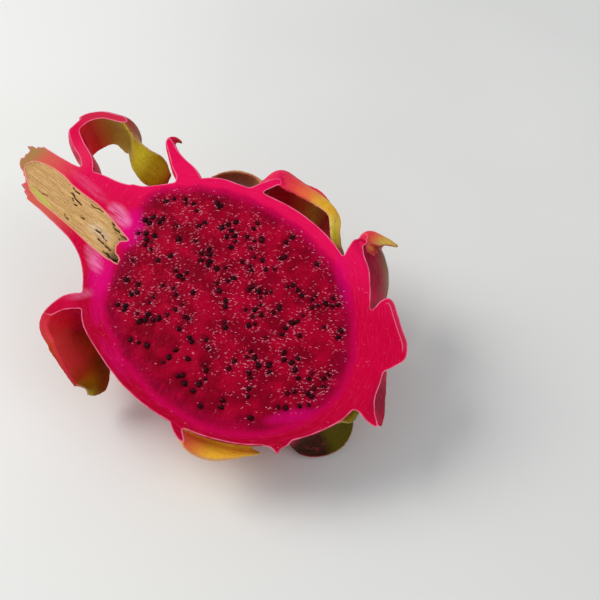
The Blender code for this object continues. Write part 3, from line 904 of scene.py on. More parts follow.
class Wire:
    """Value in a shader, whose arithmetic adds Math nodes."""

    def __init__(self, tree: "Tree", socket: bpy.types.NodeSocket) -> None:
        """Hold a socket of a tree."""
        self.tree = tree
        self.socket = socket

    def math(self, operation: str, first: Any, second: Any = 0.0) -> "Wire":
        """Join two values by a Math node's operation."""
        settings = {"operation": operation}
        return self.tree.value("ShaderNodeMath", settings, {0: first, 1: second})

    def __add__(self, other: Any) -> "Wire":
        """Sum."""
        return self.math("ADD", self, other)

    __radd__ = __add__

    def __sub__(self, other: Any) -> "Wire":
        """Difference."""
        return self.math("SUBTRACT", self, other)

    def __rsub__(self, other: Any) -> "Wire":
        """Difference the other way round."""
        return self.math("SUBTRACT", other, self)

    def __mul__(self, other: Any) -> "Wire":
        """Product."""
        return self.math("MULTIPLY", self, other)

    __rmul__ = __mul__

    def __truediv__(self, other: Any) -> "Wire":
        """Quotient."""
        return self.math("DIVIDE", self, other)

    def ramp(self, low: float, high: float) -> "Wire":
        """Rise smoothly from 0 at low to 1 at high, or fall where high is the lower."""
        settings = {"interpolation_type": "SMOOTHSTEP"}
        if low > high:
            return 1.0 - self.ramp(high, low)
        return self.tree.value("ShaderNodeMapRange", settings, {0: self, 1: low, 2: high})


class Tree:
    """Node tree in the making."""

    def __init__(self, nodes: Nodes) -> None:
        """Hold the tree."""
        self.nodes = nodes

    @classmethod
    def group(cls, name: str, inputs: dict[str, str]) -> tuple["Tree", dict[str, Wire]]:
        """Begin a tree that works on geometry.

        Args:
            name: Name of the tree.
            inputs: Kind of each named input that follows the geometry.

        Returns:
            The tree, and its inputs by name.
        """
        nodes = bpy.data.node_groups.new(name, "GeometryNodeTree")
        for label, kind in {"Geometry": "Geometry", **inputs}.items():
            nodes.interface.new_socket(label, in_out="INPUT", socket_type=f"NodeSocket{kind}")
        nodes.interface.new_socket("Geometry", in_out="OUTPUT", socket_type="NodeSocketGeometry")
        tree = cls(nodes)
        given = tree.node("NodeGroupInput")
        return tree, {key: Wire(tree, given.outputs[key]) for key in ("Geometry", *inputs)}

    def node(self, kind: str, settings: Optional[dict] = None, inputs: Optional[dict] = None) -> Any:
        """Add a node.

        Args:
            kind: Type of the node.
            settings: Its own settings, set before its sockets.
            inputs: Values or links of its sockets, by name or number.

        Returns:
            The node.
        """
        made = self.nodes.nodes.new(kind)
        for key, setting in (settings or {}).items():
            setattr(made, key, setting)
        for key, wanted in (inputs or {}).items():
            socket = made.inputs[key]
            source = wanted.socket if isinstance(wanted, Wire) else wanted
            if isinstance(source, bpy.types.NodeSocket):
                self.nodes.links.new(source, socket)
            else:
                socket.default_value = source
        return made

    def value(self, kind: str, settings: Optional[dict], inputs: dict, output: Any = 0) -> Wire:
        """Add a node and give one of its outputs."""
        return Wire(self, self.node(kind, settings, inputs).outputs[output])

    def mix(self, amount: Any, first: Any, second: Any) -> Wire:
        """Mix two colours, plain ones given as three numbers."""
        colours = [(*c, 1.0) if isinstance(c, tuple) else c for c in (first, second)]
        inputs = {0: amount, 6: colours[0], 7: colours[1]}
        return self.value("ShaderNodeMix", {"data_type": "RGBA"}, inputs, 2)

    def attribute(self, name: str, output: str = "Fac") -> Wire:
        """Value stored on the mesh's points."""
        settings = {"attribute_name": name, "attribute_type": "GEOMETRY"}
        return self.value("ShaderNodeAttribute", settings, {}, output)

    def fruit(self) -> Wire:
        """Place in the fruit's own axes, in millimetres."""
        turn = LIE.matrix().to_euler()
        seen = self.node("ShaderNodeTexCoord")
        inputs = {0: seen.outputs["Object"], 1: LIE.middle, 2: tuple(turn), 3: (MM, MM, MM)}
        return self.value("ShaderNodeMapping", {"vector_type": "TEXTURE"}, inputs)

    def stretch(self, place: Wire, size: Sequence[float], shift: float = 0.0) -> Wire:
        """Place divided by a size along each axis."""
        factors = tuple(1.0 / s for s in size)
        inputs = {0: place, 1: (shift, shift, shift), 3: factors}
        return self.value("ShaderNodeMapping", {"vector_type": "POINT"}, inputs)

    def cloud(self, place: Wire, size: Sequence[float], detail: float = 2.0, shift: float = 0.0) -> Wire:
        """Smooth noise from 0 to 1 with lumps of a size in millimetres."""
        inputs = {"Vector": self.stretch(place, size, shift), "Scale": 1.0, "Detail": detail}
        return self.value("ShaderNodeTexNoise", None, inputs)

    def cells(self, place: Wire, size: Sequence[float], shift: float = 0.0) -> Wire:
        """Distance to the nearest of many scattered points, in cells."""
        inputs = {"Vector": self.stretch(place, size, shift), "Scale": 1.0, "Randomness": 1.0}
        return self.value("ShaderNodeTexVoronoi", None, inputs, "Distance")

    def split(self, place: Wire) -> tuple[Wire, Wire, Wire]:
        """X, Y and Z of a place."""
        made = self.node("ShaderNodeSeparateXYZ", None, {0: place})
        return Wire(self, made.outputs[0]), Wire(self, made.outputs[1]), Wire(self, made.outputs[2])

    def bump(self, height: Wire, depth: float) -> Wire:
        """Normal of a surface with a fine relief, its depth in millimetres."""
        inputs = {"Strength": 1.0, "Distance": depth * MM, "Height": height}
        return self.value("ShaderNodeBump", None, inputs)


    def named(self, name: str, kind: str) -> Wire:
        """Value stored on the points, for a tree that works on geometry."""
        return self.value("GeometryNodeInputNamedAttribute", {"data_type": kind}, {"Name": name})

    def ball(self, finer: int) -> Wire:
        """Round mesh of radius 1."""
        return self.value("GeometryNodeMeshIcoSphere", None, {"Radius": 1.0, "Subdivisions": finer})

    def vector(self, operation: str, first: Any, second: Any) -> Wire:
        """Join two vectors, or a vector and its factor, by an operation."""
        key = "Scale" if operation == "SCALE" else 1
        return self.value("ShaderNodeVectorMath", {"operation": operation}, {0: first, key: second})

    def vary(self, low: Any, high: Any, seed: Wire) -> Wire:
        """Random number, or vector, between two bounds for each point."""
        kind, first, output = ("FLOAT_VECTOR", 0, 0) if isinstance(low, tuple) else ("FLOAT", 2, 1)
        inputs = {first: low, first + 1: high, "Seed": seed}
        return self.value("FunctionNodeRandomValue", {"data_type": kind}, inputs, output)

    def scatter(self, inputs: dict[str, Wire], material: Material) -> Nodes:
        """End the tree with an instance at each point, as real smooth meshes in one material.

        Args:
            inputs: The points, the instance, its rotation and its scale.
            material: The material of the meshes.

        Returns:
            The finished tree.
        """
        spread = self.value("GeometryNodeInstanceOnPoints", None, inputs)
        real = self.value("GeometryNodeRealizeInstances", None, {0: spread})
        soft = self.value("GeometryNodeSetShadeSmooth", None, {"Geometry": real})
        dressed = self.value("GeometryNodeSetMaterial", None, {"Geometry": soft, "Material": material})
        self.node("NodeGroupOutput", None, {0: dressed})
        return self.nodes


@dataclass(frozen=True)
class Blot:
    """Soft patch of colour on the cut face: its middle, half length, half width, turn and strength."""

    x: float
    y: float
    long: float
    wide: float
    turn: float
    strength: float

    def mask(self, tree: Tree, across: Wire, upward: Wire) -> Wire:
        """Strength over the cut face, full in the middle and nothing past the edge.

        Args:
            tree: Tree of the material.
            across: X on the fruit.
            upward: Y on the fruit.

        Returns:
            The strength, 0 outside the patch.
        """
        cosine, sine = math.cos(math.radians(self.turn)), math.sin(math.radians(self.turn))
        dx, dy = across - self.x, upward - self.y
        u = (dx * cosine + dy * sine) / self.long
        v = (dy * cosine - dx * sine) / self.wide
        return (u * u + v * v).ramp(1.0, 0.0) * self.strength


@dataclass(frozen=True)
class Finish:
    """Base of the finishes: a material's name and what is the same all over it."""

    name: str
    roughness: float = 0.4
    coat: float = 0.0
    coat_roughness: float = 0.1
    specular: float = 0.5
    glint: Colour = (1.0, 1.0, 1.0)
    subsurface: float = 0.0
    subsurface_reach: float = 1.0
    subsurface_radius: Colour = (1.0, 0.25, 0.2)

    def surface(self, tree: Tree, place: Wire) -> dict[str, Any]:
        """Values of the shader that change over the surface, by the place on the fruit."""
        return {}

    def material(self) -> Material:
        """Make the material.

        Returns:
            The material.
        """
        made = bpy.data.materials.new(self.name)
        made.use_nodes = True
        made.node_tree.nodes.clear()
        tree = Tree(made.node_tree)
        self.close(tree, self.surface(tree, tree.fruit()))
        return made

    def close(self, tree: Tree, inputs: dict[str, Any]) -> None:
        """Join the surface's values to the shader and the shader to the output.

        Args:
            tree: Tree of the material.
            inputs: The shader's inputs that change over the surface.
        """
        plain = {
            "Roughness": self.roughness,
            "Coat Weight": self.coat,
            "Coat Roughness": self.coat_roughness,
            "Specular IOR Level": self.specular,
            "Specular Tint": (*self.glint, 1.0),
            "Subsurface Weight": self.subsurface,
            "Subsurface Radius": self.subsurface_radius,
            "Subsurface Scale": self.subsurface_reach * MM,
        }
        plain.update(inputs)
        shader = tree.node("ShaderNodeBsdfPrincipled", None, plain)
        tree.node("ShaderNodeOutputMaterial", None, {0: shader.outputs[0]})


@dataclass(frozen=True)
class CutFinish(Finish):
    """Base of the two wet cut finishes, which share their colour where pulp and peel meet."""

    peel: Colour = srgb(208, 2, 58)
    peel_low: Colour = srgb(176, 2, 42)
    peel_top: Colour = srgb(242, 18, 92)
    ring: Colour = srgb(198, 2, 74)
    pulp: Colour = srgb(172, 1, 42)
    pulp_dark: Colour = srgb(132, 0, 28)
    pulp_light: Colour = srgb(194, 4, 52)
    pale: Colour = srgb(250, 150, 204)
    magenta: Colour = srgb(230, 4, 124)
    violet: Colour = srgb(160, 2, 66)
    # patches of painted highlight: glossy reflections of the wet cut near the stalk's base, in the pale
    # colour
    painted_highlight_blots: tuple[Blot, ...] = (
        Blot(-57.4, 3.9, 7.5, 4.0, -12, 0.8),
        Blot(-52.8, -14.6, 7.5, 3.4, -24, 0.65),
        Blot(-48.4, -28.4, 8.0, 2.8, 45, 0.4),
        Blot(-74.0, 5.6, 13.0, 2.6, -4, 0.2),
    )
    magenta_blots: tuple[Blot, ...] = (
        Blot(-50.5, 2.6, 10.0, 6.5, -60, 0.9),
        Blot(-47.0, -17.0, 12.0, 5.6, -52, 0.8),
        Blot(-39.5, -27.0, 10.0, 3.2, -45, 0.4),
        Blot(-22.0, -37.0, 12.0, 2.6, -16, 0.3),
        Blot(22.0, 35.0, 14.0, 3.4, -45, 0.3),
        Blot(38.0, -15.0, 11.0, 3.0, 50, 0.45),
    )
    strip: float = 0.6

    def colour(self, tree: Tree, place: Wire) -> Wire:
        """Colour over the cut face, by the depth in from the edge of the pulp.

        Args:
            tree: Tree of the material.
            place: Place on the fruit.

        Returns:
            The colour.
        """
        x, y, _ = tree.split(place)
        depth = tree.attribute("depth") + (tree.cloud(place, (6, 6, 6)) - 0.5) * 2.2
        mottle = tree.cloud(place, (9, 9, 9), 3.0, 4.0)
        streak = tree.cloud(place, (8.0, 1.0, 2.0), 4.0, 9.0)
        peel = tree.mix((y * -1.0 + x * 0.15).ramp(-6.0, 34.0), self.peel, self.peel_low)
        peel = tree.mix((y - x * 0.3).ramp(14.0, 40.0) * 0.8, peel, self.peel_top)
        peel = tree.mix(streak.ramp(0.5, 0.8) * 0.3, peel, self.peel_top)
        pulp = tree.mix(mottle.ramp(0.36, 0.62), self.pulp_dark, self.pulp)
        pulp = tree.mix(tree.cloud(place, (5, 5, 5), 2.0, 2.0).ramp(0.55, 0.8), pulp, self.pulp_light)
        pulp = tree.mix(depth.ramp(6.5, 1.5) * 0.3, pulp, self.violet)
        depth = depth - (y - x * 0.3).ramp(20.0, 38.0) * 1.7
        colour = tree.mix(depth.ramp(-3.2, -0.8), peel, self.ring)
        colour = tree.mix(depth.ramp(-1.3, 1.7), colour, pulp)
        for blot in self.magenta_blots:
            colour = tree.mix(blot.mask(tree, x, y), colour, self.magenta)
        # painted highlight: pale glossy reflections near the stalk, broken up by the streaks
        for blot in self.painted_highlight_blots:
            colour = tree.mix(blot.mask(tree, x, y) * streak.ramp(0.2, 0.75), colour, self.pale)
        return colour


@dataclass(frozen=True)
class PulpFinish(CutFinish):
    """Wet crimson flesh with fine pale strands, whose pale specks are partly pale cells and partly painted
    glints of the wet surface.
    """

    speck_and_glint: Colour = srgb(236, 110, 140)
    shadow: Colour = srgb(70, 0, 16)

    def surface(self, tree: Tree, place: Wire) -> dict[str, Any]:
        """Colour, sheen and relief over the surface.

        Args:
            tree: Tree of the material.
            place: Place on the fruit.

        Returns:
            Inputs of the shader.
        """
        colour = self.colour(tree, place)
        rich = tree.attribute("strands")
        fine = tree.cells(place, (0.55, 0.4, 0.5))
        pick = tree.cloud(place, (1.3, 1.3, 1.3), 1.0, 5.0)
        # pale specks: partly pale cells of the flesh, partly painted glints of its wet surface
        speck_and_glint = fine.ramp(0.2, 0.05) * pick.ramp(0.5, 0.62) * rich
        colour = tree.mix(speck_and_glint * 0.6, colour, self.speck_and_glint)
        halo = tree.attribute("halo") * (fine.ramp(0.1, 0.5) * 0.4 + 0.6)
        colour = tree.mix(halo * 0.7, colour, self.shadow)
        grain = tree.cloud(place, (0.5, 0.34, 0.5), 2.0)
        soft = tree.cloud(place, (1.6, 1.2, 1.4), 2.0, 3.0)
        height = grain * 0.5 + soft
        rough = tree.cloud(place, (1.2, 1.2, 1.2), 1.0, 7.0).ramp(0.3, 0.7) * 0.18 + self.roughness
        return {"Base Color": colour, "Roughness": rough, "Normal": tree.bump(height, 0.35)}


@dataclass(frozen=True)
class PeelCutFinish(CutFinish):
    """Firm wet peel where the knife went through it, with a pale line along its edges, partly its own colour
    and partly a painted highlight where light catches the cut edge.
    """

    # pale of the line along the cut's outer edge: partly the peel's own colour, partly a painted highlight
    edge: Colour = srgb(248, 128, 164)
    wood_edge: Colour = srgb(246, 176, 148)
    bark: Colour = srgb(214, 100, 82)
    bark_brown: Colour = srgb(172, 128, 76)
    dot: Colour = srgb(255, 120, 146)
    dusty: Colour = srgb(176, 58, 84)
    lip: Blot = Blot(48.0, 33.6, 12.0, 5.6, -40, 1.0)
    fibre: Colour = srgb(250, 62, 116)
    shade: Colour = srgb(164, 0, 36)

    def surface(self, tree: Tree, place: Wire) -> dict[str, Any]:
        """Colour, sheen and relief over the surface.

        Args:
            tree: Tree of the material.
            place: Place on the fruit.

        Returns:
            Inputs of the shader.
        """
        x, y, _ = tree.split(place)
        colour = self.colour(tree, place)
        fibres = tree.cloud(tree.attribute("band", "Vector"), (4.5, 0.34, 1.0), 4.0)
        outward = tree.attribute("depth").ramp(-0.6, -2.0)
        colour = tree.mix(fibres.ramp(0.5, 0.75) * outward * 0.24, colour, self.fibre)
        colour = tree.mix(fibres.ramp(0.48, 0.28) * outward * 0.18, colour, self.shade)
        dots = tree.cells(place, (1.9, 1.0, 1.7), 3.0).ramp(0.24, 0.05)
        chosen = tree.cloud(place, (3.4, 3.4, 3.4), 2.0, 8.0).ramp(0.5, 0.66)
        colour = tree.mix(dots * chosen * 0.55, colour, self.dot)
        streaks = tree.cloud(place, (5.0, 0.5, 2.0), 3.0, 6.0)
        low = (y * -1.0).ramp(8.5, 11.0)
        stalk = 1.0 - tree.attribute("blade")
        bark = (x + (streaks - 0.5) * 10.0 - low * 15.0).ramp(-78.0, -97.0)
        colour = tree.mix(bark * stalk * 0.9, colour, self.bark)
        brown = (x + streaks * 7.0 - low * 2.0).ramp(-91.0, -97.5)
        colour = tree.mix(brown * stalk, colour, self.bark_brown)
        rim = tree.attribute("rim")
        wood = tree.attribute("wood")
        scale = tree.attribute("blade") * tree.attribute("depth").ramp(-8.0, -14.0)
        colour = tree.mix(scale * self.strip, colour, tree.attribute("tint", "Color"))
        lip = self.lip.mask(tree, x, y).ramp(0.0, 0.5)
        inner = rim.ramp(1.75, 1.5)
        colour = tree.mix(lip * inner * 0.4, colour, self.dusty)
        colour = tree.mix(lip * rim.ramp(2.1, 1.75) * (1.0 - inner) * 0.6, colour, self.edge)
        # pale line along the cut's outer edge: partly the peel's own colour, partly a painted highlight
        # where light catches the edge
        broken = tree.cloud(place, (5, 5, 5), 2.0, 13.0).ramp(0.3, 0.6) * 0.6 + 0.3
        colour = tree.mix(rim.ramp(0.5, 0.1) * broken, colour, self.edge)
        colour = tree.mix(wood.ramp(0.6, 0.2) * 0.7, colour, self.wood_edge)
        height = tree.cloud(place, (1.5, 1.5, 1.5), 2.0) + tree.cloud(place, (0.5, 0.5, 0.5), 1.0, 2.0) * 0.3
        return {"Base Color": colour, "Normal": tree.bump(height, 0.12)}


@dataclass(frozen=True)
class SkinFinish(Finish):
    """Waxy skin and scales, from pink through orange and yellow to olive."""

    skin: Colour = srgb(206, 10, 66)
    skin_dark: Colour = srgb(164, 12, 48)
    bloom: Colour = srgb(226, 60, 96)
    vein: Colour = srgb(84, 30, 14)
    stripe: Colour = srgb(246, 104, 140)
    margin: Colour = srgb(226, 176, 140)
    margin_ripe: Colour = srgb(232, 24, 78)
    speckle: Colour = srgb(74, 30, 12)
    bark: Colour = srgb(168, 118, 78)
    bark_dark: Colour = srgb(96, 62, 38)

    def surface(self, tree: Tree, place: Wire) -> dict[str, Any]:
        """Colour, sheen and relief over the surface.

        Args:
            tree: Tree of the material.
            place: Place on the fruit.

        Returns:
            Inputs of the shader.
        """
        x, _, _ = tree.split(place)
        strand = tree.attribute("strand", "Vector")
        green = tree.attribute("green")
        blade = tree.attribute("blade")
        lines = tree.cloud(strand, (7.0, 0.5, 1.0), 3.0)
        patch = tree.cloud(place, (6, 6, 6), 3.0)
        mottle = tree.cloud(place, (2.6, 2.6, 2.6), 4.0, 2.0)
        skin = tree.mix(patch.ramp(0.35, 0.65), self.skin_dark, self.skin)
        colour = tree.mix(blade, skin, tree.attribute("tint", "Color"))
        colour = tree.mix(mottle.ramp(0.5, 0.75) * (1.0 - green) * 0.14, colour, self.bloom)
        vein = tree.mix(green, self.stripe, self.vein)
        amount = lines.ramp(0.54, 0.3) * blade * (green * 0.16 + 0.1)
        colour = tree.mix(amount, colour, vein)
        spots = tree.cells(place, (1.0, 1.0, 1.0)).ramp(0.36, 0.14) * mottle.ramp(0.42, 0.58)
        colour = tree.mix(spots * green * 0.4, colour, self.speckle)
        margin = tree.mix(green, self.margin_ripe, self.margin)
        colour = tree.mix(tree.attribute("margin") * 0.45, colour, margin)
        crust = tree.cloud(place, (5.0, 0.8, 0.8), 4.0, 5.0)
        bark = (x + (crust - 0.5) * 12.0).ramp(-84.0, -98.0) * (1.0 - blade)
        colour = tree.mix(bark, colour, tree.mix(crust.ramp(0.35, 0.6), self.bark_dark, self.bark))
        height = lines * blade * 0.8 + mottle * 0.4 + bark * crust * 2.0
        rough = patch.ramp(0.3, 0.7) * 0.14 + self.roughness + bark * 0.3
        return {"Base Color": colour, "Roughness": rough, "Normal": tree.bump(height, 0.3)}


@dataclass(frozen=True)
class WoodFinish(Finish):
    """Dry fibrous wood of the stalk, with dark cracks."""

    tan: Colour = srgb(238, 190, 128)
    brown: Colour = srgb(196, 146, 88)
    ochre: Colour = srgb(206, 164, 88)
    cream: Colour = srgb(242, 220, 188)
    dark: Colour = srgb(60, 34, 18)
    umber: Colour = srgb(120, 84, 48)
    green: Colour = srgb(206, 200, 92)

    def surface(self, tree: Tree, place: Wire) -> dict[str, Any]:
        """Colour, sheen and relief over the surface.

        Args:
            tree: Tree of the material.
            place: Place on the fruit.

        Returns:
            Inputs of the shader.
        """
        x, y, _ = tree.split(place)
        fibre = tree.cloud(place, (9.0, 0.32, 0.6), 4.0)
        broad = tree.cloud(place, (16.0, 1.6, 2.0), 2.0, 3.0)
        colour = tree.mix(fibre.ramp(0.34, 0.62), self.brown, self.tan)
        colour = tree.mix(broad.ramp(0.4, 0.66) * 0.4, colour, self.ochre)
        grain = tree.cloud(place, (0.7, 0.34, 0.5), 4.0, 21.0)
        colour = tree.mix(grain.ramp(0.5, 0.72) * 0.45, colour, self.umber)
        pale = Blot(-58.6, -5.6, 7.0, 2.6, 0, 1.0).mask(tree, x, y)
        colour = tree.mix(pale * fibre.ramp(0.3, 0.6) * 0.8, colour, self.cream)
        strip = Blot(-86.0, -9.4, 12.0, 2.0, -7, 1.0).mask(tree, x, y)
        colour = tree.mix(strip * 0.9, colour, self.green)
        tip = (x + (fibre - 0.5) * 6.0).ramp(-52.0, -47.5)
        colour = tree.mix(tip * 0.85, colour, self.dark)
        crack = tree.attribute("crack")
        colour = tree.mix(crack, colour, self.dark)
        line = tree.cloud(place, (2.6, 0.2, 0.6), 3.0, 12.0).ramp(0.66, 0.74)
        colour = tree.mix(line * 0.45, colour, self.dark)
        hole = tree.cells(place, (1.9, 0.8, 1.0), 6.0).ramp(0.2, 0.1) * broad.ramp(0.5, 0.62)
        colour = tree.mix(hole * 0.7, colour, self.dark)
        outer = (x + (fibre - 0.5) * 8.0).ramp(-92.0, -99.0)
        colour = tree.mix(outer * 0.5, colour, self.brown)
        height = fibre + broad * 0.4 - crack * 0.6
        return {"Base Color": colour, "Normal": tree.bump(height, 0.5)}


@dataclass(frozen=True)
class PlainFinish(Finish):
    """Small things whose colour varies a little from place to place."""

    light: Colour = (0.8, 0.8, 0.8)
    shade: Colour = (0.6, 0.6, 0.6)
    grain: float = 1.0
    relief: float = 0.1

    def surface(self, tree: Tree, place: Wire) -> dict[str, Any]:
        """Colour, sheen and relief over the surface."""
        cloud = tree.cloud(place, (self.grain,) * 3, 3.0)
        colour = tree.mix(cloud.ramp(0.35, 0.65), self.shade, self.light)
        return {"Base Color": colour, "Normal": tree.bump(cloud, self.relief)}


@dataclass(frozen=True)
class FloorFinish(Finish):
    """Pale matt floor."""

    light: Colour = srgb(230, 230, 226)
    shade: Colour = srgb(222, 222, 218)

    def surface(self, tree: Tree, place: Wire) -> dict[str, Any]:
        """Faint clouds, in the floor's own place."""
        seen = Wire(tree, tree.node("ShaderNodeTexCoord").outputs["Object"])
        cloud = tree.cloud(seen, (0.3, 0.3, 0.3), 3.0)
        return {"Base Color": tree.mix(cloud.ramp(0.3, 0.7), self.shade, self.light)}


def wear(item: Item, *finishes: Finish) -> None:
    """Give an object its finishes."""
    item.data.materials.clear()
    for finish in finishes:
        item.data.materials.append(finish.material())


@dataclass
class Knife:
    """Cut made through the fruit, nearly flat, with the slight waves that a blade leaves."""

    low: Pair = (-112.0, -62.0)
    high: Pair = (72.0, 68.0)
    cell: Pair = (0.55, 0.55)
    wave: float = 0.07
    wave_size: Triple = (14.0, 14.0, 1.0)
    scratch: float = 0.02
    scratch_size: Triple = (3.0, 3.0, 1.0)
    top: float = 14.0

    def height(self, points: Array) -> Array:
        """Height of the cut over places on it."""
        flat = level(points)
        return self.wave * rough(flat, self.wave_size) + self.scratch * rough(flat, self.scratch_size, 5.0)

    def relief(self, points: Array) -> Array:
        """Relief that the tissue itself adds to the cut."""
        return np.zeros(len(points))

    def object(self, step: float = 1.0) -> Item:
        """Solid of everything above the cut.

        Args:
            step: Coarseness, 1 for the full detail.

        Returns:
            The cutting solid.
        """
        counts = [int((h - l) / (c * step)) for l, h, c in zip(self.low, self.high, self.cell)]
        xs = np.linspace(self.low[0], self.high[0], counts[0] + 1)
        ys = np.linspace(self.low[1], self.high[1], counts[1] + 1)
        grid = np.stack(np.meshgrid(xs, ys, indexing="ij"), axis=-1).reshape(-1, 2)
        points = np.column_stack([grid, np.zeros(len(grid))])
        points[:, 2] = self.height(points) + self.relief(points)
        rows, columns = len(xs), len(ys)
        number = np.arange(rows * columns).reshape(rows, columns)
        quads = np.stack([number[:-1, :-1], number[:-1, 1:], number[1:, 1:], number[1:, :-1]], axis=-1)
        faces = [tuple(q) for q in quads.reshape(-1, 4).tolist()]
        ring = [*number[:, 0], *number[-1, 1:], *number[-2::-1, -1], *number[0, -2:0:-1]]
        above = points[ring].copy()
        above[:, 2] = self.top
        start = len(points)
        points = np.concatenate([points, above])
        size = len(ring)
        for k in range(size):
            m = (k + 1) % size
            faces.append((int(ring[k]), int(ring[m]), start + m, start + k))
        faces.append(tuple(start + k for k in range(size)))
        return new_object(new_mesh("knife", points, faces))


@dataclass
class PulpKnife(Knife):
    """Cut through the flesh, which stands up between its strands and dips round its seeds."""

    low: Pair = (-56.0, -40.0)
    high: Pair = (47.0, 44.0)
    cell: Pair = (0.33, 0.33)
    top: float = 50.0
    ripple: float = 0.16
    ripple_size: Triple = (1.5, 0.9, 1.0)
    lump: float = 0.14
    lump_size: Triple = (5.0, 5.0, 1.0)
    pits: Sequence[Pair] = ()
    pit: float = 0.28
    pit_spread: float = 1.7
    rim: Pair = (0.4, 3.5)
    least_ripple: float = 0.35

    def relief(self, points: Array) -> Array:
        """Relief of the flesh, none at its edge.

        Args:
            points: Points, one a row.

        Returns:
            One height for each point.
        """
        outline = PULP.outline(60)
        inside = inside_outline(points, outline)
        edge = smooth_step(*self.rim, line_distance(points, outline)) * inside
        height = np.zeros(len(points))
        chosen = np.nonzero(edge > 0)[0]
        spots = points[chosen]
        flat = level(spots)
        amount = self.least_ripple + (1 - self.least_ripple) * strand_richness(spots)
        height[chosen] = self.ripple * amount * rough(flat, self.ripple_size, 3.0)
        height[chosen] += self.lump * rough(flat, self.lump_size, 11.0)
        for x, y in self.pits:
            near = (points[:, 0] - x) ** 2 + (points[:, 1] - y) ** 2
            height -= self.pit * np.exp(-near / self.pit_spread)
        return height * edge


@dataclass(frozen=True)
class Cracks:
    """Cracks along the wood: each one's two ends and width, and how they wander and tear."""

    rows: Rows = ()
    reach: float = 2.0
    wander: float = 0.9
    wander_size: Triple = (3.1, 9.0, 1.0)
    torn: Pair = (-0.35, 0.1)
    torn_size: Triple = (1.7, 0.6, 1.0)

    def strength(self, points: Array) -> Array:
        """How deep in a crack points of the cut face lie, from 0 to 1.

        Args:
            points: Points, one a row.

        Returns:
            One strength for each point.
        """
        deepest = np.zeros(len(points))
        for ax, ay, bx, by, width in self.rows:
            line = np.array([(ax, ay), (bx, by)])
            near = line_distance(points, line, closed=False) < self.reach
            moved = points[near].copy()
            flat = level(moved)
            moved[:, 1] += self.wander * rough(flat, self.wander_size, by)
            away = line_distance(moved, line, closed=False)
            torn = smooth_step(*self.torn, rough(flat, self.torn_size, ax))
            deepest[near] = np.maximum(deepest[near], np.exp(-((away / width) ** 2)) * torn)
        return deepest


@dataclass
class WoodKnife(Knife):
    """Cut along the woody core, which splits between its fibres."""

    low: Pair = (-102.0, -13.0)
    high: Pair = (-43.5, 4.0)
    cell: Pair = (0.3, 0.1)
    ridge: float = 0.16
    ridge_size: Triple = (11.0, 0.75, 1.0)
    hair: float = 0.1
    hair_size: Triple = (3.0, 0.4, 1.0)
    sunk: float = 0.12
    crack_depth: float = 0.9
    cracks: Cracks = Cracks()

    def relief(self, points: Array) -> Array:
        """Ridges of the fibres and the dark cracks."""
        flat = level(points)
        height = self.ridge * rough(flat, self.ridge_size, 2.0)
        height += self.hair * rough(flat, self.hair_size, 8.0) - self.sunk
        return height - self.crack_depth * self.cracks.strength(points)


def strand_richness(points: Array) -> Array:
    """How many pale strands the flesh shows at points, from 0 to 1."""
    upward = points[:, 1] * 0.9 - points[:, 0] * 0.1
    rich = smooth_step(-26.0, -6.0, upward + 5 * np.sin(points[:, 0] / 9.0))
    bare = np.exp(-(((points[:, 0] - 9) / 9) ** 2 + ((points[:, 1] - 19) / 6) ** 2))
    return np.clip(0.1 + 0.9 * rich - 0.35 * bare, 0.05, 1.0)


